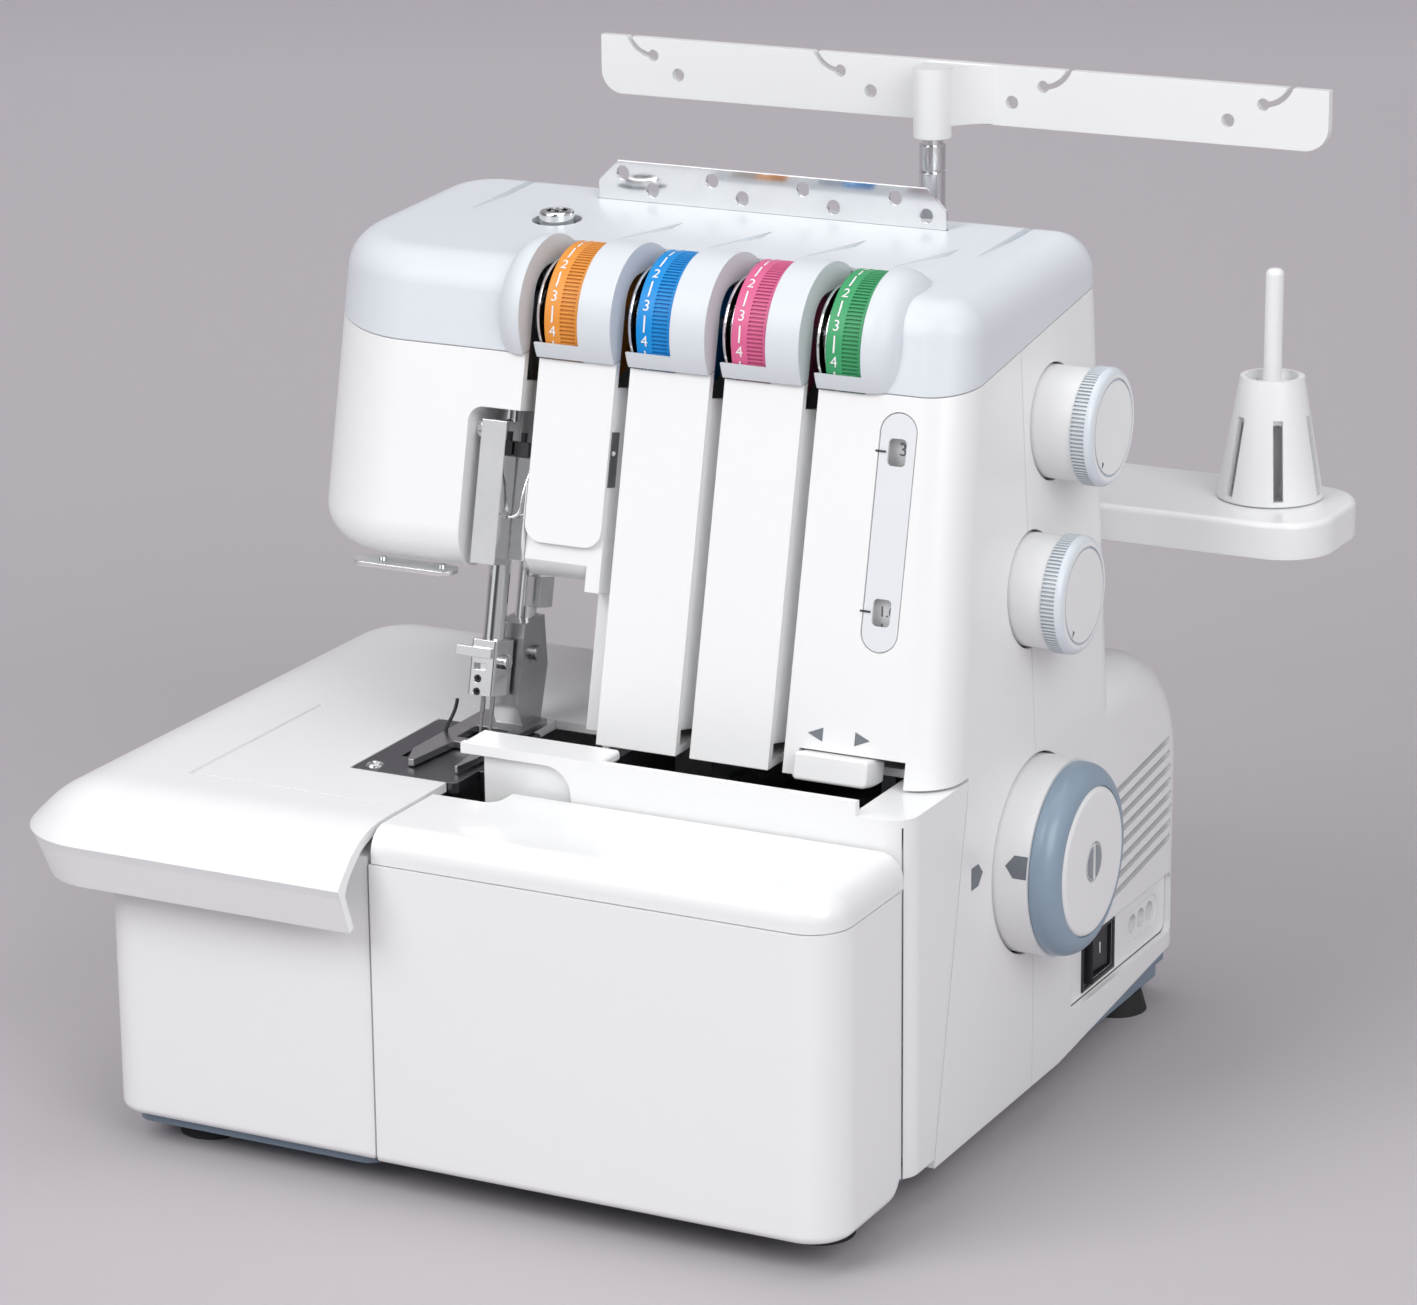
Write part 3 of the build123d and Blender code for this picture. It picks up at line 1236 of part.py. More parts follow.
for number, pin_x in enumerate(PIN_X, start=1):
    with BuildPart() as spool_cone:
        with Locations((pin_x, PIN_Y, TRAY_Z + 20.4)):
            Cone(17.5, 10.5, 40)
            Cone(15.5, 8.5, 40.01, mode=Mode.SUBTRACT)
        with BuildSketch(Plane.XY.offset(TRAY_Z + 34)):
            with Locations((pin_x, PIN_Y)):
                Circle(9.6)
                Circle(3.08, mode=Mode.SUBTRACT)
        extrude(amount=3)
        with BuildSketch(Plane.XY.offset(TRAY_Z + 2)):
            with Locations((pin_x, PIN_Y)):
                with PolarLocations(15, 6):
                    Rectangle(8, 3.2)
        extrude(amount=26, mode=Mode.SUBTRACT)
    hand_in(spool_cone, f"spool_cone_{number}")
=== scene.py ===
"""Dresses the overlock sewing machine: finishes, printed marks, screws, studio and camera."""
import logging
import math
from dataclasses import dataclass, field
from enum import Enum
from typing import Any, Callable, Sequence, Union

import bmesh
import bpy
from mathutils import Matrix, Vector


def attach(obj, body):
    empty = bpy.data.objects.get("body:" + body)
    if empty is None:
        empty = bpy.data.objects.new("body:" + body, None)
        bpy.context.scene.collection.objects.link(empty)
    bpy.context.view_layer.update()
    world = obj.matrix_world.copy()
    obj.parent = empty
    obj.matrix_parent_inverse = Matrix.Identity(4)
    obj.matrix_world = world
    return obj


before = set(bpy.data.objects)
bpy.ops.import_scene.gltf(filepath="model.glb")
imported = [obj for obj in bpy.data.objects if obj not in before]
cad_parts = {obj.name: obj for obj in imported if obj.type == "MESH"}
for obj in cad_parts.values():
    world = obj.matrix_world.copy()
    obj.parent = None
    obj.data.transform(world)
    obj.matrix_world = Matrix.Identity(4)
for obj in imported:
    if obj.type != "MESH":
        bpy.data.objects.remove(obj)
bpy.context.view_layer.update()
LOG = logging.getLogger("overlock")

Pair = tuple[float, float]
Colour = tuple[float, float, float]
Point = tuple[float, float, float]
Number = Union[float, "Value"]

# Lengths are metres in the row frame: X to the machine's right, Y to its back, Z up.
RIGHT = Vector((1.0, 0.0, 0.0))
BACK = Vector((0.0, 1.0, 0.0))
UP = Vector((0.0, 0.0, 1.0))

# The front panel leans back from its foot.
LEAN = math.radians(13.0)
UP_PANEL = Vector((0.0, math.sin(LEAN), math.cos(LEAN)))
OUT_PANEL = Vector((0.0, -math.cos(LEAN), math.sin(LEAN)))
PANEL_FOOT = Vector((0.0, -0.054, 0.1313))

# Places as (Y, Z) that finishes and marks share.
DIAL_AXIS: Pair = (-0.0075, 0.2587)
STITCH_AXIS: Pair = (0.0403, 0.2269)
FEED_AXIS: Pair = (0.0184, 0.1778)
WHEEL_AXIS: Pair = (0.0161, 0.0913)
SWITCH_MIDDLE: Pair = (0.077, 0.036)

# Printed marks: gap to the surface, thickness of flat ones and of letters, font size per letter height.
INK_GAP = 0.00005
INK = 0.0001
RAISED = 0.00012
FONT_RATIO = 1.38

WHITE_TONE: Colour = (0.86, 0.865, 0.87)
BLACK_TONE: Colour = (0.022, 0.023, 0.026)


class Value:
    """A number socket of a shader graph that takes part in Python expressions."""

    def __init__(self, graph: "Graph", socket: bpy.types.NodeSocket) -> None:
        """Keep the graph and the socket."""
        self.graph = graph
        self.socket = socket

    def _math(self, operation: str, *terms: Number) -> "Value":
        """Add one Math node.

        Args:
            operation: the Math node's operation.
            terms: numbers or values, in order.

        Returns:
            The node's result.
        """
        sockets = {index: term for index, term in enumerate(terms)}
        return self.graph.node("ShaderNodeMath", {"operation": operation}, sockets)

    def __add__(self, other: Number) -> "Value":
        """Sum."""
        return self._math("ADD", self, other)

    def __radd__(self, other: Number) -> "Value":
        """Sum with a number on the left."""
        return self._math("ADD", other, self)

    def __sub__(self, other: Number) -> "Value":
        """Difference."""
        return self._math("SUBTRACT", self, other)

    def __rsub__(self, other: Number) -> "Value":
        """Difference from a number on the left."""
        return self._math("SUBTRACT", other, self)

    def __mul__(self, other: Number) -> "Value":
        """Product."""
        return self._math("MULTIPLY", self, other)

    def __rmul__(self, other: Number) -> "Value":
        """Product with a number on the left."""
        return self._math("MULTIPLY", other, self)

    def __gt__(self, other: Number) -> "Value":
        """1 where this is the larger, else 0."""
        return self._math("GREATER_THAN", self, other)

    def __lt__(self, other: Number) -> "Value":
        """1 where this is the smaller, else 0."""
        return self._math("LESS_THAN", self, other)

    def power(self, exponent: float) -> "Value":
        """Power with a fixed exponent."""
        return self._math("POWER", self, exponent)


class Graph:
    """The node graph of one material or world."""

    def __init__(self, owner: Union[bpy.types.Material, bpy.types.World],
                 shader: str = "Principled BSDF") -> None:
        """Take the owner's graph.

        Args:
            owner: the material or world.
            shader: name of the shader node that it starts with.
        """
        self.owner = owner
        self.owner.use_nodes = True
        self.tree = self.owner.node_tree
        self.shader = self.tree.nodes[shader]

    @classmethod
    def named(cls, name: str) -> "Graph":
        """Graph of a new material."""
        return cls(bpy.data.materials.new(name))

    def node(self, kind: str, settings: dict[str, Any], sockets: dict[Any, Any],
             output: Union[int, str] = 0) -> Value:
        """Add a node.

        Args:
            kind: the node's type name.
            settings: properties set first; "stops" fills a colour ramp.
            sockets: values or links by socket name or number.
            output: the output to hand back.

        Returns:
            The chosen output.
        """
        made = self.tree.nodes.new(kind)
        for key, setting in settings.items():
            if key == "stops":
                for _ in range(len(setting) - 2):
                    made.color_ramp.elements.new(0.5)
                for element, (place, shade) in zip(made.color_ramp.elements, setting):
                    element.position = place
                    element.color = (*shade, 1.0)
            else:
                setattr(made, key, setting)
        for key, source in sockets.items():
            self.feed(made.inputs[key], source)
        return Value(self, made.outputs[output])

    def feed(self, socket: bpy.types.NodeSocket, source: Any) -> None:
        """Link or set one input socket.

        Args:
            socket: the input.
            source: a value to link, or a colour, vector or number to set.
        """
        if isinstance(source, Value):
            self.tree.links.new(source.socket, socket)
        elif isinstance(source, (tuple, list)) and socket.type == "RGBA":
            socket.default_value = (*source[:3], 1.0)
        else:
            socket.default_value = source

    def set(self, **sockets: Any) -> None:
        """Feed the shader's sockets, with underscores for the spaces in their names."""
        for key, source in sockets.items():
            self.feed(self.shader.inputs[key.replace("_", " ")], source)

    def place(self) -> Value:
        """Position in the object's own frame, in metres."""
        return self.node("ShaderNodeTexCoord", {}, {}, "Object")

    def axis(self, index: int) -> Value:
        """One coordinate of the position, 0 to 2."""
        return self.node("ShaderNodeSeparateXYZ", {}, {0: self.place()}, index)

    def noise(self, scale: float, detail: float = 3.0, roughness: float = 0.5,
              stretch: Point = (1.0, 1.0, 1.0)) -> Value:
        """Noise over the object's own frame.

        Args:
            scale: fineness, per metre.
            detail: number of finer layers.
            roughness: weight of the finer layers.
            stretch: factor along each axis.

        Returns:
            The noise, about 0 to 1.
        """
        spot = self.node("ShaderNodeMapping", {}, {"Vector": self.place(), "Scale": stretch})
        return self.node("ShaderNodeTexNoise", {}, {"Vector": spot, "Scale": scale, "Detail": detail,
                                                    "Roughness": roughness})

    def mix(self, mask: Number, low: Any, high: Any) -> Value:
        """Colour mix of two colours by a mask."""
        return self.node("ShaderNodeMix", {"data_type": "RGBA"}, {0: mask, 6: low, 7: high}, 2)

    def bump(self, height: Number, depth: float, strength: float = 0.4, edge: float = 0.0004) -> Value:
        """Normal from a height, over edges that are softened a little.

        Args:
            height: the height pattern, about 0 to 1.
            depth: the height of 1, in metres.
            strength: how much of it shows.
            edge: radius that sharp edges seem to have, in metres.

        Returns:
            The normal.
        """
        soft = self.node("ShaderNodeBevel", {"samples": 4}, {"Radius": edge})
        return self.node("ShaderNodeBump", {}, {"Height": height, "Distance": depth, "Strength": strength,
                                                "Normal": soft})


def scaled(colour: Colour, factor: float) -> Colour:
    """The colour with every part multiplied."""
    return tuple(part * factor for part in colour)


@dataclass(frozen=True)
class Moulding:
    """Injection moulded plastic with faint tone drift, handling haze and a fine grain."""

    name: str
    colour: Colour
    roughness: float = 0.3
    grain: float = 0.00001
    coat: float = 0.25
    drift: float = 0.015
    gloss: float = 0.5
    haze: float = 0.04

    def tone(self, graph: Graph) -> Value:
        """Base colour with a slow and a fine drift.

        Args:
            graph: the material's graph.

        Returns:
            The colour.
        """
        slow = graph.noise(scale=9.0, detail=1.0)
        fine = graph.noise(scale=700.0, detail=1.0)
        return graph.mix(slow * 0.5 + fine * 0.5, scaled(self.colour, 1.0 - self.drift), self.colour)

    def make(self) -> bpy.types.Material:
        """Build the material.

        Returns:
            The material.
        """
        graph = Graph.named(self.name)
        haze = graph.noise(scale=16.0, detail=1.0, roughness=0.4)
        grain = graph.noise(scale=2600.0, detail=2.0, roughness=0.6)
        graph.set(Base_Color=self.tone(graph), Roughness=self.roughness + (haze - 0.5) * self.haze,
                  Coat_Weight=self.coat, Coat_Roughness=0.12, IOR=1.5, Specular_IOR_Level=self.gloss,
                  Normal=graph.bump(grain, self.grain))
        return graph.owner


@dataclass(frozen=True)
class RibbedMoulding(Moulding):
    """Moulding with a ribbed rim about an X axis, with painted shade down in the grooves."""

    centre: Pair = (0.0, 0.0)
    start: float = 0.0
    end: float = 0.0
    floor_radius: float = 0.0
    # Factor of the painted shade: the groove colour is the body colour times this.
    shade: float = 0.8

    def grooves(self, graph: Graph) -> Value:
        """Mask of the grooves, where shade is painted.

        Args:
            graph: the material's graph.

        Returns:
            1 in a groove, else 0.
        """
        along = graph.axis(0)
        side = graph.axis(1) - self.centre[0]
        rise = graph.axis(2) - self.centre[1]
        deep = (side * side + rise * rise) < self.floor_radius ** 2
        return (along > self.start) * (along < self.end) * deep

    def tone(self, graph: Graph) -> Value:
        """Base colour, with painted shade in the grooves."""
        # The grooves get a darker copy of the colour: painted shade.
        return graph.mix(self.grooves(graph), super().tone(graph), scaled(self.colour, self.shade))


@dataclass(frozen=True)
class DialMoulding(RibbedMoulding):
    """Coloured tension dial; all four turn about one axis."""

    roughness: float = 0.4
    coat: float = 0.0
    drift: float = 0.04
    gloss: float = 0.3
    centre: Pair = DIAL_AXIS
    floor_radius: float = 0.0221


@dataclass(frozen=True)
class KnobMoulding(RibbedMoulding):
    """White drum with a grey grip ring at its outer end, and painted shade in the ring's grooves."""

    roughness: float = 0.33
    start: float = 0.1186
    end: float = 0.1230
    floor_radius: float = 0.0187
    # Factor of the painted shade in the ring's grooves.
    shade: float = 0.7
    band: Colour = (0.72, 0.77, 0.82)
    band_start: float = 0.1185
    band_end: float = 0.12545

    def tone(self, graph: Graph) -> Value:
        """White drum and face, grey ring, painted shade in the grooves.

        Args:
            graph: the material's graph.

        Returns:
            The colour.
        """
        along = graph.axis(0)
        inside = (along > self.band_start) * (along < self.band_end)
        # Darker copy of the grey band in the grooves: painted shade.
        ring = graph.mix(self.grooves(graph), self.band, scaled(self.band, self.shade))
        return graph.mix(inside, Moulding.tone(self, graph), ring)


@dataclass(frozen=True)
class LinedMoulding(Moulding):
    """Moulding with one opening lined in black."""

    middle: Pair = SWITCH_MIDDLE
    half: Pair = (0.01205, 0.00755)
    lining: Colour = BLACK_TONE

    def tone(self, graph: Graph) -> Value:
        """Base colour, black on the walls of the opening.

        Args:
            graph: the material's graph.

        Returns:
            The colour.
        """
        side = graph.axis(1) - self.middle[0]
        rise = graph.axis(2) - self.middle[1]
        inside = (side * side < self.half[0] ** 2) * (rise * rise < self.half[1] ** 2)
        return graph.mix(inside, super().tone(graph), self.lining)


@dataclass(frozen=True)
class Metal:
    """Steel with fine lay lines and darker smudges."""

    name: str
    colour: Colour
    roughness: float = 0.25
    lay: Point = (1.0, 1.0, 1.0)
    smudge: float = 0.1
    lay_swing: float = 0.05
    polish: float = 0.04
    patina: float = 0.82
    depth: float = 0.00002

    def make(self) -> bpy.types.Material:
        """Build the material.

        Returns:
            The material.
        """
        graph = Graph.named(self.name)
        lines = graph.noise(scale=900.0, detail=3.0, roughness=0.6, stretch=self.lay)
        smudge = graph.noise(scale=70.0, detail=4.0, roughness=0.6)
        graph.set(Base_Color=graph.mix(smudge, scaled(self.colour, self.patina), self.colour), Metallic=1.0,
                  Roughness=self.roughness + lines * self.lay_swing + smudge * self.smudge - self.polish,
                  Normal=graph.bump(lines, self.depth, strength=0.3))
        return graph.owner


@dataclass(frozen=True)
class Rubber:
    """Dull black rubber with dust in its pores."""

    name: str
    colour: Colour
    roughness: float = 0.62
    haze: float = 0.2
    dust: float = 0.03
    pore_depth: float = 0.00008

    def make(self) -> bpy.types.Material:
        """Build the material.

        Returns:
            The material.
        """
        graph = Graph.named(self.name)
        dust = graph.noise(scale=320.0, detail=5.0, roughness=0.7)
        pores = graph.noise(scale=1800.0, detail=3.0)
        pale = tuple(part + self.dust for part in self.colour)
        graph.set(Base_Color=graph.mix(dust.power(3.0), self.colour, pale),
                  Roughness=self.roughness + dust * self.haze,
                  Normal=graph.bump(pores, self.pore_depth, strength=0.5))
        return graph.owner


@dataclass(frozen=True)
class Casting:
    """Cast metal with a coarse skin."""

    name: str
    colour: Colour
    roughness: float = 0.45
    haze: float = 0.2
    hollows: float = 0.75
    skin_depth: float = 0.0003

    def make(self) -> bpy.types.Material:
        """Build the material.

        Returns:
            The material.
        """
        graph = Graph.named(self.name)
        skin = graph.noise(scale=420.0, detail=5.0, roughness=0.65)
        graph.set(Base_Color=graph.mix(skin, scaled(self.colour, self.hollows), self.colour), Metallic=0.85,
                  Roughness=self.roughness + skin * self.haze,
                  Normal=graph.bump(skin, self.skin_depth, strength=0.5))
        return graph.owner


@dataclass(frozen=True)
class Ink:
    """Printed ink, slightly uneven."""

    name: str
    colour: Colour
    roughness: float = 0.42
    haze: float = 0.15
    film: float = 0.00001

    def make(self) -> bpy.types.Material:
        """Build the material.

        Returns:
            The material.
        """
        graph = Graph.named(self.name)
        patch = graph.noise(scale=900.0, detail=4.0, roughness=0.6)
        thin = tuple(min(1.0, part * 1.15 + 0.02) for part in self.colour)
        graph.set(Base_Color=graph.mix(patch.power(2.0), self.colour, thin),
                  Roughness=self.roughness + patch * self.haze,
                  Normal=graph.bump(patch, self.film, strength=0.2))
        return graph.owner


class Finish(Enum):
    """Every finish on the machine."""

    WHITE = Moulding("white_shell", WHITE_TONE, 0.32)
    TOP = Moulding("grey_top", (0.69, 0.725, 0.765), 0.40, coat=0.05, gloss=0.3)
    PAN = Moulding("blue_grey_pan", (0.20, 0.26, 0.33), 0.45, coat=0.05, grain=0.00005, drift=0.05)
    RING = Moulding("blue_grey_ring", (0.27, 0.36, 0.45), 0.35, coat=0.2, drift=0.03)
    BUTTON = Moulding("grey_button", (0.27, 0.30, 0.33), 0.35, drift=0.03)
    BLACK = Moulding("black_moulding", BLACK_TONE, 0.38, coat=0.1, drift=0.1)
    LINED = LinedMoulding("panel_shell", WHITE_TONE, 0.32)
    STRIP = Moulding("strip_shell", (0.745, 0.765, 0.79), 0.32)
    STITCH_KNOB = KnobMoulding("stitch_knob_shell", WHITE_TONE, centre=STITCH_AXIS)
    FEED_KNOB = KnobMoulding("feed_knob_shell", WHITE_TONE, centre=FEED_AXIS)
    ORANGE = DialMoulding("orange_shell", (0.80, 0.31, 0.05), start=-0.0336, end=-0.0282)
    BLUE = DialMoulding("blue_shell", (0.004, 0.265, 0.69), start=-0.0010, end=0.0044)
    PINK = DialMoulding("pink_shell", (0.70, 0.13, 0.29), start=0.0321, end=0.0375)
    GREEN = DialMoulding("green_shell", (0.05, 0.35, 0.14), start=0.0644, end=0.0698)
    RUBBER = Rubber("foot_rubber", (0.012, 0.012, 0.013))
    CAST = Casting("cast_frame", (0.30, 0.31, 0.33))
    DARK_STEEL = Metal("dark_ground_steel", (0.21, 0.215, 0.23), 0.30, (1.0, 0.06, 1.0))
    STEEL = Metal("ground_steel", (0.55, 0.55, 0.56), 0.26, (1.0, 0.08, 1.0))
    POLISHED = Metal("bright_chrome", (0.92, 0.925, 0.93), 0.08, (1.0, 1.0, 0.1), smudge=0.04)
    ENAMEL = Moulding("motor_enamel", (0.04, 0.042, 0.046), 0.4, drift=0.1)
    GREY_INK = Ink("grey_ink", (0.16, 0.175, 0.20))
    WHITE_INK = Ink("white_ink", (0.9, 0.9, 0.9))
    BLACK_INK = Ink("black_ink", (0.03, 0.03, 0.035))

    def material(self) -> bpy.types.Material:
        """The finish's material, made on first use."""
        known = bpy.data.materials.get(self.value.name)
        return known if known else self.value.make()


def dress(finish: Finish, *names: str) -> None:
    """Give CAD nodes a finish.

    Args:
        finish: the finish.
        names: node names.
    """
    for name in names:
        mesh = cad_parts[name].data
        mesh.materials.clear()
        mesh.materials.append(finish.material())


def rest_on(obj: bpy.types.Object, body: str, finish: Finish) -> None:
    """Finish a new piece and let it ride on a body.

    Args:
        obj: the piece, in place.
        body: the body's name.
        finish: its finish.
    """
    obj.data.materials.clear()
    obj.data.materials.append(finish.material())
    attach(obj, body)
    LOG.info("piece %s on %s", obj.name, body)


def linked(name: str, data: bpy.types.ID) -> bpy.types.Object:
    """New object in the scene for a mesh, curve, lamp or camera."""
    obj = bpy.data.objects.new(name, data)
    bpy.context.collection.objects.link(obj)
    return obj


def mesh_piece(name: str, fill: Callable[[bmesh.types.BMesh], None]) -> bpy.types.Object:
    """Make a mesh object.

    Args:
        name: the piece's name.
        fill: adds its geometry in the row frame, in metres.

    Returns:
        The object.
    """
    data = bpy.data.meshes.new(name)
    work = bmesh.new()
    fill(work)
    bmesh.ops.recalc_face_normals(work, faces=work.faces)
    work.to_mesh(data)
    work.free()
    return linked(name, data)


def circle(count: int) -> list[Pair]:
    """Cosine and sine of evenly spaced angles all round."""
    return [(math.cos(math.tau * step / count), math.sin(math.tau * step / count)) for step in range(count)]


def bridge(work: bmesh.types.BMesh, low: Sequence[bmesh.types.BMVert],
           high: Sequence[bmesh.types.BMVert]) -> None:
    """Join two closed loops with a band of faces.

    Args:
        work: the mesh to add to.
        low: corners of the first loop.
        high: as many corners of the second.
    """
    count = len(low)
    for index in range(count):
        after = (index + 1) % count
        work.faces.new((low[index], low[after], high[after], high[index]))


def prism(work: bmesh.types.BMesh, outline: Sequence[Vector], lift: Vector) -> None:
    """Add a thin plate: an outline raised along a vector.

    Args:
        work: the mesh to add to.
        outline: corner points in order.
        lift: thickness vector.
    """
    low = [work.verts.new(point) for point in outline]
    high = [work.verts.new(point + lift) for point in outline]
    work.faces.new(low)
    work.faces.new(high[::-1])
    bridge(work, low, high)


def plate(name: str, outline: Sequence[Vector], lift: Vector) -> bpy.types.Object:
    """Thin plate as a piece of its own."""
    return mesh_piece(name, lambda work: prism(work, outline, lift))


def wire_piece(name: str, route: Sequence[Sequence[float]], radius: float = 0.0006) -> bpy.types.Object:
    """Round wire along a smooth line.

    Args:
        name: the piece's name.
        route: points that steer the line, in metres.
        radius: half the wire's thickness.

    Returns:
        The wire.
    """
    line = bpy.data.curves.new(name, "CURVE")
    line.dimensions = "3D"
    line.bevel_depth = radius
    line.bevel_resolution = 3
    line.use_fill_caps = True
    spline = line.splines.new("NURBS")
    spline.points.add(len(route) - 1)
    for point, spot in zip(spline.points, route):
        point.co = (*spot, 1.0)
    spline.order_u = 3
    spline.use_endpoint_u = True
    return linked(name, line)


def lettering(name: str, words: str, height: float, matrix: Matrix) -> bpy.types.Object:
    """Raised digits as a mesh.

    Args:
        name: the piece's name.
        words: digits or plain signs.
        height: letter height in metres.
        matrix: placement, letters in its XY plane with +Z out of the surface.

    Returns:
        The object.
    """
    curve = bpy.data.curves.new(name + "_curve", "FONT")
    curve.body = words
    curve.size = height * FONT_RATIO
    curve.align_x = "CENTER"
    curve.align_y = "CENTER"
    curve.extrude = RAISED
    curve.resolution_u = 3
    holder = linked(name + "_holder", curve)
    bpy.context.view_layer.update()
    depsgraph = bpy.context.evaluated_depsgraph_get()
    data = bpy.data.meshes.new_from_object(holder.evaluated_get(depsgraph))
    bpy.data.objects.remove(holder)
    data.name = name
    data.transform(matrix)
    return linked(name, data)


def basis(origin: Vector, right: Vector, up: Vector) -> Matrix:
    """Placement matrix from an origin and two directions.

    Args:
        origin: the place.
        right: direction of its X.
        up: direction of its Y.

    Returns:
        The matrix.
    """
    matrix = Matrix((right, up, right.cross(up))).transposed().to_4x4()
    matrix.translation = origin
    return matrix


def panel_point(x: float, z: float, out: float = 0.0) -> Vector:
    """Point on the leaning front panel.

    Args:
        x: across, metres.
        z: height, metres.
        out: distance in front of the panel.

    Returns:
        The point.
    """
    rise = (z - PANEL_FOOT.z) / math.cos(LEAN)
    return Vector((x, PANEL_FOOT.y, PANEL_FOOT.z)) + UP_PANEL * rise + OUT_PANEL * out


def rim_frame(turn: float) -> tuple[Vector, Vector]:
    """Outward and upward direction on a rim about X, at an angle above the front."""
    return (Vector((0.0, -math.cos(turn), math.sin(turn))), Vector((0.0, math.sin(turn), math.cos(turn))))


@dataclass
class CrossScrew:
    """A pan-head screw with a cross recess."""

    name: str
    origin: Vector
    normal: Vector
    radius: float = 0.0028
    height: float = 0.0014
    sides: int = 24
    dome: tuple[Pair, ...] = ((1.0, 0.0), (1.0, 0.35), (0.86, 0.75), (0.55, 1.0))
    arm: float = 0.42
    notch: float = 0.14
    recess: float = 0.35

    def build(self) -> bpy.types.Object:
        """Turn the head and press the recess.

        Returns:
            The screw head.
        """
        side = self.normal.orthogonal().normalized()
        matrix = basis(self.origin, side, self.normal.cross(side))
        turns = circle(self.sides)

        def fill(work: bmesh.types.BMesh) -> None:
            """Rings of the dome, then the recess with its four arms."""
            loops = [[work.verts.new(matrix @ Vector((self.radius * scale * cos, self.radius * scale * sin,
                                                      self.height * lift))) for cos, sin in turns]
                     for scale, lift in self.dome]
            well = []
            for step, (cos, sin) in enumerate(turns):
                reach = self.radius * (self.arm if step % (self.sides // 4) == 0 else self.notch)
                well.append(work.verts.new(matrix @ Vector((reach * cos, reach * sin,
                                                            self.height * self.recess))))
            loops.append(well)
            for low, high in zip(loops, loops[1:]):
                bridge(work, low, high)
            work.faces.new(well)
        return mesh_piece(self.name, fill)


class Assembly:
    """A group of CAD nodes with the small pieces that go on them."""

    def dress(self) -> None:
        """Finish the nodes."""
        raise NotImplementedError

    def build(self) -> None:
        """Add small pieces; a group without any adds none."""


@dataclass
class Shell(Assembly):
    """White covers, grey top and the marks printed on them.

    Arrows are (name, X, direction), window rows (name, Z) and the side mark's corners (Y, Z).
    """

    arrow_half: Pair = (0.00252, 0.0021)
    arrow_z: float = 0.1445
    arrows: tuple[tuple[str, float, float], ...] = (("slider_arrow_left", 0.0655, -1.0),
                                                    ("slider_arrow_right", 0.0815, 1.0))
    window_rows: tuple[tuple[str, float], ...] = (("window_line_upper", 0.231),
                                                  ("window_line_lower", 0.183))
    line_x: Pair = (0.0765, 0.0800)
    line_half: float = 0.0003
    side_x: float = 0.11005
    side_mark: tuple[Pair, ...] = ((-0.0323, 0.1011), (-0.0272, 0.1011), (-0.0238, 0.0975),
                                   (-0.0272, 0.0939), (-0.0323, 0.0939))
    screw_radius: float = 0.0034
    back_screws: tuple[Point, ...] = ((-0.105, 0.085, 0.205), (0.080, 0.085, 0.235), (0.080, 0.085, 0.150),
                                      (-0.008, 0.1474, 0.036), (0.082, 0.1474, 0.036), (0.037, 0.1474, 0.078))
    pan_screws: tuple[Point, ...] = ((-0.09, -0.07, 0.007), (0.06, -0.07, 0.007), (0.06, 0.08, 0.007),
                                     (-0.09, 0.02, 0.007))

    def dress(self) -> None:
        """Finish the covers."""
        dress(Finish.WHITE, "face_cover", "front_cover", "rear_cover", "left_body_cover", "cloth_plate",
              "rear_bed_cover", "front_frame", "looper_cover_front", "looper_cover_lid", "rolled_hem_slider",
              "inlet_socket")
        dress(Finish.LINED, "terminal_panel")
        dress(Finish.TOP, "top_cover")
        dress(Finish.STRIP, "window_strip")
        dress(Finish.PAN, "base_pan")
        dress(Finish.RUBBER, "rubber_feet")

    def slider_arrows(self) -> None:
        """Two small triangles above the rolled-hem slider."""
        for name, x, sign in self.arrows:
            reach = sign * self.arrow_half[0]
            rise = self.arrow_half[1]
            corners = (panel_point(x + reach, self.arrow_z, INK_GAP),
                       panel_point(x - reach, self.arrow_z + rise, INK_GAP),
                       panel_point(x - reach, self.arrow_z - rise, INK_GAP))
            mark = plate(name, corners, OUT_PANEL * INK)
            rest_on(mark, "machine", Finish.GREY_INK)

    def window_lines(self) -> None:
        """Reading lines left of the two windows."""
        left, right = self.line_x
        for name, z in self.window_rows:
            low, high = z - self.line_half, z + self.line_half
            corners = [panel_point(x, height, INK_GAP) for x, height in
                       ((left, low), (right, low), (right, high), (left, high))]
            rest_on(plate(name, corners, OUT_PANEL * INK), "machine", Finish.BLACK_INK)

    def turn_mark(self) -> None:
        """Turning mark beside the handwheel."""
        corners = [Vector((self.side_x, y, z)) for y, z in self.side_mark]
        mark = plate("side_turn_mark", corners, RIGHT * INK)
        rest_on(mark, "machine", Finish.GREY_INK)

    def build(self) -> None:
        """Make the printed marks and the screws at the back and underneath."""
        self.slider_arrows()
        self.window_lines()
        self.turn_mark()
        for kind, spots, normal in (("back_screw", self.back_screws, BACK),
                                    ("pan_screw", self.pan_screws, -UP)):
            for number, spot in enumerate(spots):
                head = CrossScrew(f"{kind}_{number}", Vector(spot), normal, self.screw_radius).build()
                rest_on(head, "machine", Finish.STEEL)


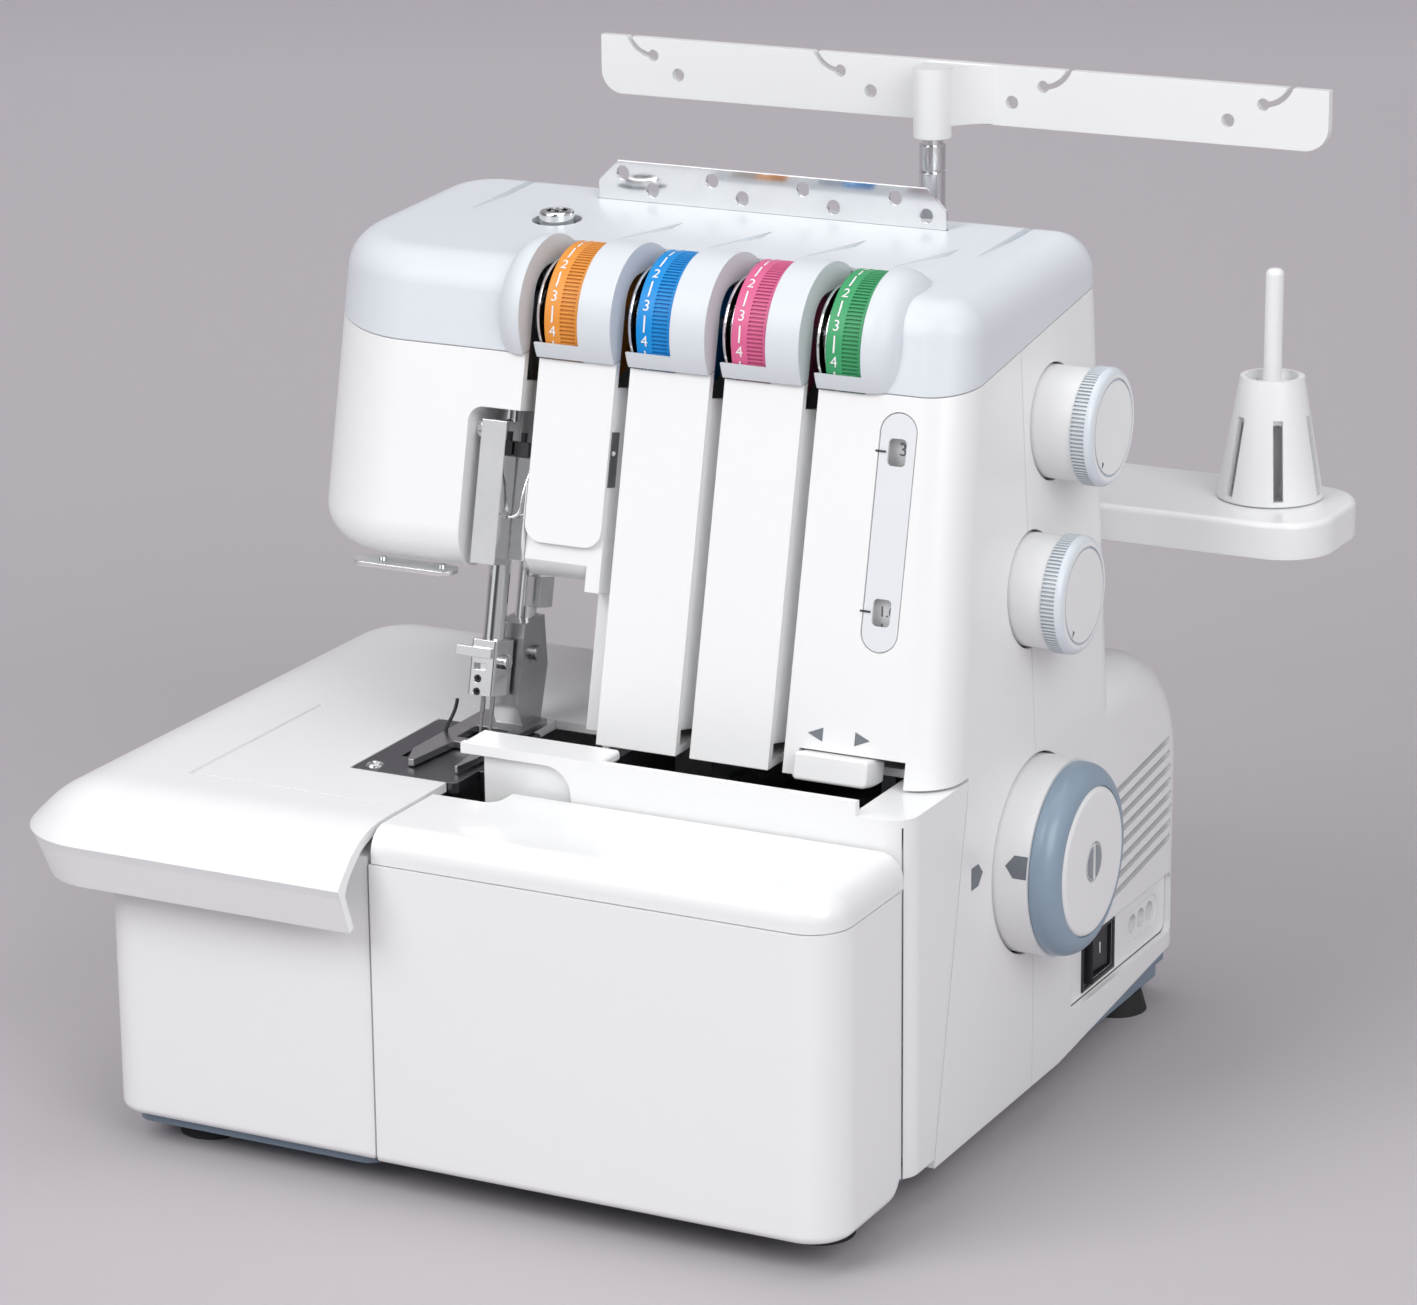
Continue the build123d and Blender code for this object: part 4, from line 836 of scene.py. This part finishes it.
@dataclass
class Dials(Assembly):
    """Four tension dials with white digits."""

    slots: tuple[float, ...] = (-0.045, -0.0124, 0.0207, 0.053)
    digit_x: float = 0.0088
    digit_height: float = 0.0036
    line_half: Pair = (0.0003, 0.0027)
    radius: float = 0.0223
    step: float = math.radians(29.0)
    middle: float = math.radians(24.0)
    middle_digit: int = 3
    last_digit: int = 9
    colours: tuple[Finish, ...] = (Finish.ORANGE, Finish.BLUE, Finish.PINK, Finish.GREEN)

    def spot(self, x: float, turn: float) -> Matrix:
        """Frame on the dial's rim.

        Args:
            x: place along the axis.
            turn: angle above the front, radians.

        Returns:
            Placement with +Z out of the rim.
        """
        out, up = rim_frame(turn)
        return basis(Vector((x, *DIAL_AXIS)) + out * self.radius, RIGHT, up)

    def dress(self) -> None:
        """Finish dials and discs."""
        for number, finish in enumerate(self.colours, start=1):
            dress(finish, f"tension_dial_{number}")
        dress(Finish.POLISHED, "tension_discs")

    def build(self) -> None:
        """Digits 0 to 9 round each rim, with a line between neighbours."""
        across, along = self.line_half
        for number, slot in enumerate(self.slots, start=1):
            body = f"tension_dial_{number}"
            x = slot + self.digit_x
            for digit in range(self.last_digit + 1):
                turn = self.middle + (self.middle_digit - digit) * self.step
                place = self.spot(x, turn)
                mark = lettering(f"dial_{number}_digit_{digit}", str(digit), self.digit_height, place)
                rest_on(mark, body, Finish.WHITE_INK)
                if digit == self.last_digit:
                    continue
                between = self.spot(x, turn - self.step / 2)
                corners = [between @ Vector((side * across, rise * along, 0.0)) for side, rise in
                           ((-1, -1), (1, -1), (1, 1), (-1, 1))]
                lift = between.to_3x3() @ Vector((0.0, 0.0, RAISED))
                line = plate(f"dial_{number}_line_{digit}", corners, lift)
                rest_on(line, body, Finish.WHITE_INK)


@dataclass
class SideControls(Assembly):
    """Setting knobs, number sectors, handwheel and switch.

    Sectors are (node, axis, radius, tilt in degrees, numbers, letter height), the drum mark's corners
    (degrees, X), signs (name, sign, middle, reading direction) and frame loops (X, half width, half height).
    """

    number_x: float = 0.0838
    number_step: float = 5.4
    sectors: tuple[tuple[str, Pair, float, float, tuple[str, ...], float], ...] = (
        ("stitch_length_sector", STITCH_AXIS, 0.067, 3.3, ("1", "2", "3", "4", "5"), 0.0042),
        ("differential_sector", FEED_AXIS, 0.0567, 4.4, ("0.5", "0.7", "1.0", "1.5", "2.0"), 0.0033))
    drum_radius: float = 0.03203
    drum_mark_middle: float = 169.0
    drum_mark: tuple[Pair, ...] = ((162.5, 0.1213), (169, 0.1213), (175.5, 0.1213), (175.5, 0.1168),
                                   (169, 0.1140), (162.5, 0.1168))
    button_x: float = 0.1308
    button_radius: float = 0.0056
    button_rise: float = 0.0004
    button_half_arc: float = 78.0
    button_steps: int = 12
    sign_height: float = 0.0042
    signs: tuple[tuple[str, str, Point, Point], ...] = (
        ("switch_off_sign", "O", (0.1080, 0.0717, 0.036), (-0.0048, 0.0106, 0.0)),
        ("switch_on_sign", "I", (0.1061, 0.0823, 0.036), (0.0010, 0.0106, 0.0)))
    frame_loops: tuple[Point, ...] = ((0.1074, 0.0138, 0.0093), (0.1079, 0.0138, 0.0093),
                                      (0.1081, 0.0135, 0.0090), (0.1081, 0.0126, 0.0081),
                                      (0.1075, 0.0121, 0.0076))
    pointer_x: float = 0.12552
    pointer: tuple[Pair, ...] = ((-0.0094, -0.0112), (-0.0078, -0.0098), (-0.0090, -0.0090))

    def dress(self) -> None:
        """Finish the controls."""
        dress(Finish.STITCH_KNOB, "stitch_length_knob")
        dress(Finish.FEED_KNOB, "differential_knob")
        dress(Finish.WHITE, "stitch_length_sector", "differential_sector", "handwheel_drum")
        dress(Finish.RING, "handwheel_ring")
        dress(Finish.STEEL, "main_shaft")
        dress(Finish.BLACK, "power_rocker", "motor_pulley")

    def numbers(self) -> None:
        """Numbers on the two sectors, read through the windows."""
        for node, axis, reach, tilt, words, height in self.sectors:
            middle = len(words) // 2
            for index, word in enumerate(words):
                out, up = rim_frame(math.radians(tilt + (middle - index) * self.number_step))
                origin = Vector((self.number_x, *axis)) + out * reach
                mark = lettering(f"{node}_{index}", word, height, basis(origin, RIGHT, up))
                rest_on(mark, node, Finish.GREY_INK)

    def drum_point(self, x: float, angle: float, radius: float) -> Vector:
        """Point about the handwheel's axis, at an angle in degrees from the back."""
        turn = math.radians(angle)
        return Vector((x, WHEEL_AXIS[0] + radius * math.cos(turn), WHEEL_AXIS[1] + radius * math.sin(turn)))

    def wheel_marks(self) -> None:
        """Grey mark on the drum and the round slotted button in the hub."""
        corners = [self.drum_point(x, angle, self.drum_radius) for angle, x in self.drum_mark]
        middle = math.radians(self.drum_mark_middle)
        lift = Vector((0.0, math.cos(middle), math.sin(middle))) * INK
        mark = plate("drum_turn_mark", corners, lift)
        rest_on(mark, "handwheel", Finish.GREY_INK)

        def button(work: bmesh.types.BMesh) -> None:
            """Two half rounds either side of the coin slot."""
            sweep = 2 * self.button_half_arc / self.button_steps
            for start in (180.0 - self.button_half_arc, -self.button_half_arc):
                outline = [self.drum_point(self.button_x, start + sweep * step, self.button_radius)
                           for step in range(self.button_steps + 1)]
                prism(work, outline, RIGHT * self.button_rise)
        rest_on(mesh_piece("hub_button", button), "handwheel", Finish.BUTTON)

    def switch(self) -> None:
        """O and I on the rocker and the black frame round it."""
        for name, sign, middle, along in self.signs:
            place = basis(Vector(middle), Vector(along).normalized(), UP)
            mark = lettering(name, sign, self.sign_height, place)
            rest_on(mark, "power_rocker", Finish.WHITE_INK)

        def frame_of_switch(work: bmesh.types.BMesh) -> None:
            """Four-sided frame with a sloping inner lip."""
            loops = [[work.verts.new((x, SWITCH_MIDDLE[0] + half_y * side, SWITCH_MIDDLE[1] + half_z * rise))
                      for side, rise in ((-1, -1), (1, -1), (1, 1), (-1, 1))]
                     for x, half_y, half_z in self.frame_loops]
            for low, high in zip(loops, loops[1:] + loops[:1]):
                bridge(work, low, high)
        rest_on(mesh_piece("switch_frame", frame_of_switch), "machine", Finish.BLACK)

    def knob_marks(self) -> None:
        """Small pointer on the face of each setting knob."""
        for name, body, (y, z) in (("stitch_pointer", "stitch_length_knob", STITCH_AXIS),
                                   ("feed_pointer", "differential_knob", FEED_AXIS)):
            corners = [Vector((self.pointer_x, y + side, z + rise)) for side, rise in self.pointer]
            rest_on(plate(name, corners, RIGHT * INK), body, Finish.GREY_INK)

    def build(self) -> None:
        """Make numbers, marks and signs."""
        self.numbers()
        self.wheel_marks()
        self.switch()
        self.knob_marks()


@dataclass
class SewingHead(Assembly):
    """Needle bar, presser, knives, loopers, plates and the inner works.

    Shapes in the needle recess are (X, Z) or (X, Z, distance in front of the panel), the slot's wall is
    (Z, distance) and the set screws' rings are (radius, depth, whether six-sided).
    """

    foot_route: tuple[Point, ...] = ((-0.0715, -0.0420, 0.1230), (-0.0712, -0.0422, 0.1252),
                                     (-0.0685, -0.0432, 0.1290), (-0.0660, -0.0442, 0.1335),
                                     (-0.0654, -0.0445, 0.1362))
    guard: tuple[Pair, ...] = ((-0.0531, 0.1832), (-0.0484, 0.1832), (-0.0480, 0.1842), (-0.0478, 0.2154),
                               (-0.0531, 0.2154))
    guard_out: float = -0.0125
    guard_gauge: float = 0.0006
    block: tuple[Pair, ...] = ((-0.0531, 0.2160), (-0.0527, 0.2156), (-0.0483, 0.2156), (-0.0479, 0.2160),
                               (-0.0479, 0.2198), (-0.0483, 0.2202), (-0.0527, 0.2202), (-0.0531, 0.2198))
    block_out: float = -0.0085
    block_depth: float = 0.0045
    post: Point = (-0.0509, 0.2202, -0.0105)
    post_radius: float = 0.0010
    post_height: float = 0.0030
    post_sides: int = 12
    hook: tuple[Point, ...] = ((-0.0480, 0.2115, -0.0118), (-0.0484, 0.2080, -0.0100),
                               (-0.0489, 0.2030, -0.0092), (-0.0491, 0.1985, -0.0090),
                               (-0.0512, 0.1968, -0.0090), (-0.0530, 0.1965, -0.0090))
    eye: tuple[Point, ...] = ((-0.0659, 0.2222, -0.0100), (-0.0655, 0.2240, -0.0070),
                              (-0.0645, 0.2255, -0.0055), (-0.0632, 0.2245, -0.0050),
                              (-0.0631, 0.2222, -0.0050), (-0.0643, 0.2208, -0.0055),
                              (-0.0653, 0.2222, -0.0062))
    slot_x: float = -0.01488
    slot_gauge: float = 0.0003
    slot_wall: tuple[Pair, ...] = ((0.2100, -0.0012), (0.2100, -0.0060), (0.2270, -0.0060), (0.2270, -0.0012))
    stud: Point = (-0.01458, 0.2205, -0.0025)
    stud_radius: float = 0.0009
    stud_height: float = 0.0007
    clamp_face: Point = (-0.0602, -0.0450 + 0.019 * math.tan(LEAN), 0.142)
    clamp_inset: float = 0.0006
    set_screw_rises: Pair = (0.0006, -0.0036)
    set_screw_sides: int = 24
    set_screw_rings: tuple[tuple[float, float, bool], ...] = (
        (0.00122, -0.0012, False), (0.00122, 0.0, False), (0.00062, 0.0, True), (0.00062, -0.0009, True))
    plate_screw: Point = (-0.0786, -0.0748, 0.1205)
    plate_screw_radius: float = 0.0030

    def dress(self) -> None:
        """Finish metal pieces."""
        dress(Finish.POLISHED, "needle_bar", "needle_clamp", "presser_bar", "thread_guards",
              "thread_guide_plate", "pressure_knob")
        dress(Finish.DARK_STEEL, "needle_plate", "lower_knife", "feed_dogs")
        dress(Finish.STEEL, "presser_foot", "needles", "upper_looper", "lower_looper", "upper_knife",
              "looper_pivots", "hinge_pins", "lifter_pin")
        dress(Finish.BLACK, "presser_lifter")
        dress(Finish.CAST, "machine_frame")
        dress(Finish.ENAMEL, "motor_body")
        dress(Finish.RUBBER, "drive_belt")

    def recess_fittings(self) -> None:
        """Guard plate, black block with a post, hook and eye beside the needle bar."""
        corners = [panel_point(x, z, self.guard_out) for x, z in self.guard]
        guard = plate("recess_plate", corners, OUT_PANEL * self.guard_gauge)
        rest_on(guard, "machine", Finish.POLISHED)

        def block(work: bmesh.types.BMesh) -> None:
            """Block with cut corners, with its post on top."""
            outline = [panel_point(x, z, self.block_out) for x, z in self.block]
            prism(work, outline, -OUT_PANEL * self.block_depth)
            ring = [panel_point(*self.post) + (RIGHT * cos + OUT_PANEL * sin) * self.post_radius
                    for cos, sin in circle(self.post_sides)]
            prism(work, ring, UP_PANEL * self.post_height)
        rest_on(mesh_piece("recess_block", block), "machine", Finish.BLACK)
        for name, route in (("recess_hook", self.hook), ("recess_eye", self.eye)):
            wire = wire_piece(name, [panel_point(*spot) for spot in route])
            rest_on(wire, "machine", Finish.POLISHED)

    def slot_fittings(self) -> None:
        """Dark plate and bright stud on the wall of the second thread slot."""
        wall = [panel_point(self.slot_x, z, out) for z, out in self.slot_wall]
        side = plate("slot_plate", wall, RIGHT * self.slot_gauge)
        rest_on(side, "machine", Finish.DARK_STEEL)
        stud = CrossScrew("slot_stud", panel_point(*self.stud), RIGHT, self.stud_radius, self.stud_height)
        rest_on(stud.build(), "machine", Finish.POLISHED)

    def socket_screw(self, name: str, matrix: Matrix) -> bpy.types.Object:
        """Set screw with a six-sided socket.

        Args:
            name: the piece's name.
            matrix: placement of its face, +Z outwards.

        Returns:
            The screw.
        """
        wedge = math.tau / 6

        def reach(radius: float, six: bool, turn: float) -> float:
            """Distance from the middle at an angle, for a round or a six-sided ring."""
            return radius / math.cos(turn % wedge - wedge / 2) if six else radius

        def fill(work: bmesh.types.BMesh) -> None:
            """Round body, flat face and socket."""
            loops = []
            for radius, depth, six in self.set_screw_rings:
                loop = []
                for step, (cos, sin) in enumerate(circle(self.set_screw_sides)):
                    far = reach(radius, six, math.tau * step / self.set_screw_sides)
                    loop.append(work.verts.new(matrix @ Vector((far * cos, far * sin, depth))))
                loops.append(loop)
            for low, high in zip(loops, loops[1:]):
                bridge(work, low, high)
            work.faces.new(loops[0][::-1])
            work.faces.new(loops[-1])
        return mesh_piece(name, fill)

    def set_screws(self) -> None:
        """Two socket screws in the front of the needle clamp."""
        face = Vector(self.clamp_face) - OUT_PANEL * self.clamp_inset
        for number, rise in enumerate(self.set_screw_rises):
            place = basis(face + UP_PANEL * rise, RIGHT, UP_PANEL)
            screw = self.socket_screw(f"set_screw_{number}", place)
            rest_on(screw, "needle_bar", Finish.BLACK)

    def build(self) -> None:
        """Wire at the foot, fittings of recess and slot, screws of clamp and plate."""
        rest_on(wire_piece("foot_wire", self.foot_route), "presser", Finish.BLACK)
        self.recess_fittings()
        self.slot_fittings()
        self.set_screws()
        screw = CrossScrew("needle_plate_screw", Vector(self.plate_screw), UP, self.plate_screw_radius)
        rest_on(screw.build(), "machine", Finish.POLISHED)


@dataclass
class SpoolStand(Assembly):
    """Tray, pins, cones, pole and guide bar."""

    def dress(self) -> None:
        """Finish the stand."""
        dress(Finish.WHITE, "spool_tray", "spool_pins", "guide_bar", "spool_cone_1", "spool_cone_2",
              "spool_cone_3", "spool_cone_4")
        dress(Finish.POLISHED, "pole_lower_tube", "pole_upper_tube")


@dataclass
class Studio:
    """Floor, light and the camera at the photo's angle.

    Lamps are (name, place, what it looks at, side in metres, watts); levels are stops of the surroundings'
    brightness from left to right.
    """

    azimuth: float = math.radians(27.18)
    pitch: float = math.radians(16.93)
    roll: float = math.radians(-0.55)
    focal_px: float = 4905.8
    image: tuple[int, int] = (1417, 1305)
    anchor_px: Pair = (382.2, 866.8)
    anchor: Vector = field(default_factory=lambda: Vector((-0.043, -0.131, 0.110)))
    depth: float = 1.5
    sensor: float = 36.0
    sight: float = 50.0
    sheet_front: float = -8.0
    sheet_bend: float = 4.0
    bend_radius: float = 1.2
    bend_steps: int = 12
    sheet_top: float = 6.0
    sheet_half: float = 8.0
    paper: tuple[Colour, Colour] = ((0.490, 0.460, 0.490), (0.500, 0.470, 0.500))
    # Colour that the sheet lightens to towards the back, over a span of Y in metres: painted light.
    paper_far: Colour = (0.86, 0.81, 0.86)
    paper_fade: Pair = (0.45, 1.9)
    lamps: tuple[tuple[str, Point, Point, float, float], ...] = (
        ("key_lamp", (-0.7, -1.4, 1.45), (0.0, 0.0, 0.15), 1.2, 20.0),
        ("side_lamp", (1.35, -1.0, 1.1), (0.0, 0.0, 0.15), 1.2, 16.0),
        ("top_lamp", (0.1, 0.1, 1.9), (0.0, 0.0, 0.1), 1.4, 9.0))
    levels: tuple[Pair, ...] = ((0.0, 0.33), (0.10, 0.18), (0.20, 0.95), (0.36, 1.0), (0.44, 0.13),
                                (0.62, 0.09), (0.78, 0.60), (1.0, 0.62))
    level_strength: float = 0.76
    level_blue: float = 1.02

    def camera(self) -> None:
        """Place the camera so that the anchor falls on its pixel."""
        level = math.cos(self.pitch)
        back = Vector((math.sin(self.azimuth) * level, -math.cos(self.azimuth) * level, math.sin(self.pitch)))
        flat = (-back).cross(UP).normalized()
        rise = back.cross(flat).normalized()
        right = flat * math.cos(self.roll) + rise * math.sin(self.roll)
        up = rise * math.cos(self.roll) - flat * math.sin(self.roll)
        across = (self.anchor_px[0] - self.image[0] / 2) / self.focal_px
        down = (self.anchor_px[1] - self.image[1] / 2) / self.focal_px
        data = bpy.data.cameras.new("camera")
        data.sensor_width = self.sensor
        data.lens = self.sensor * self.focal_px / self.image[0]
        data.clip_end = self.sight
        obj = linked("camera", data)
        obj.matrix_world = basis(self.anchor - (right * across - up * down - back) * self.depth, right, up)
        bpy.context.scene.camera = obj

    def floor(self) -> None:
        """Pale sheet that curves up far behind the machine; painted light makes its colour lighter towards
        the back.
        """
        def fill(work: bmesh.types.BMesh) -> None:
            """Sweep the sheet's section sideways."""
            section = [(self.sheet_front, 0.0), (self.sheet_bend, 0.0)]
            for step in range(1, self.bend_steps + 1):
                turn = math.pi / 2 * step / self.bend_steps
                section.append((self.sheet_bend + self.bend_radius * math.sin(turn),
                                self.bend_radius - self.bend_radius * math.cos(turn)))
            section.append((self.sheet_bend + self.bend_radius, self.sheet_top))
            rows = [[work.verts.new((side, y, z)) for y, z in section]
                    for side in (-self.sheet_half, self.sheet_half)]
            for index in range(len(section) - 1):
                work.faces.new((rows[0][index], rows[1][index], rows[1][index + 1], rows[0][index + 1]))
        sheet = mesh_piece("studio_sheet", fill)
        for face in sheet.data.polygons:
            face.use_smooth = True
        graph = Graph.named("studio_paper")
        # The colour goes from the near tones to the lighter far one towards the back: painted light.
        start, end = self.paper_fade
        far = graph.node("ShaderNodeMapRange", {},
                         {"Value": graph.axis(1), "From Min": start, "From Max": end})
        near = graph.mix(graph.noise(scale=3.0, detail=2.0), *self.paper)
        graph.set(Base_Color=graph.mix(far, near, self.paper_far), Roughness=0.9)
        sheet.data.materials.append(graph.owner)
        sheet.rotation_euler = (0.0, 0.0, self.azimuth)

    def lamp(self, name: str, spot: Point, aim: Point, size: float, watts: float) -> None:
        """Soft square lamp.

        Args:
            name: the lamp's name.
            spot: where it hangs.
            aim: what it looks at.
            size: its side in metres.
            watts: its power.
        """
        data = bpy.data.lights.new(name, "AREA")
        data.size = size
        data.energy = watts
        obj = linked(name, data)
        obj.location = spot
        obj.rotation_euler = (Vector(aim) - Vector(spot)).to_track_quat("-Z", "Y").to_euler()

    def world(self) -> None:
        """Soft light from broad bright panels with darker gaps between them."""
        graph = Graph(bpy.data.worlds.new("studio_world"), "Background")
        way = graph.node("ShaderNodeTexCoord", {}, {}, "Generated")
        across = graph.node("ShaderNodeSeparateXYZ", {}, {0: way}, 0)
        spread = graph.node("ShaderNodeMapRange", {}, {"Value": across, "From Min": -1.0, "From Max": 1.0})
        stops = tuple((place, (level, level, level * self.level_blue)) for place, level in self.levels)
        panels = graph.node("ShaderNodeValToRGB", {"stops": stops}, {"Fac": spread})
        graph.set(Color=panels, Strength=self.level_strength)
        bpy.context.scene.world = graph.owner

    def build(self) -> None:
        """Camera, floor, lamps and world."""
        self.camera()
        self.floor()
        for lamp in self.lamps:
            self.lamp(*lamp)
        self.world()
        bpy.context.scene.view_settings.view_transform = "Standard"


def report_nodes() -> None:
    """Log every CAD node with the finish it got."""
    for name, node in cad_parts.items():
        LOG.info("node %s in %s", name, node.data.materials[0].name)


def main() -> None:
    """Build and dress every sub-assembly, then the studio."""
    logging.basicConfig(level=logging.INFO)
    for group in (Shell(), Dials(), SideControls(), SewingHead(), SpoolStand()):
        group.dress()
        group.build()
    report_nodes()
    Studio().build()


if __name__ == "__main__":
    main()
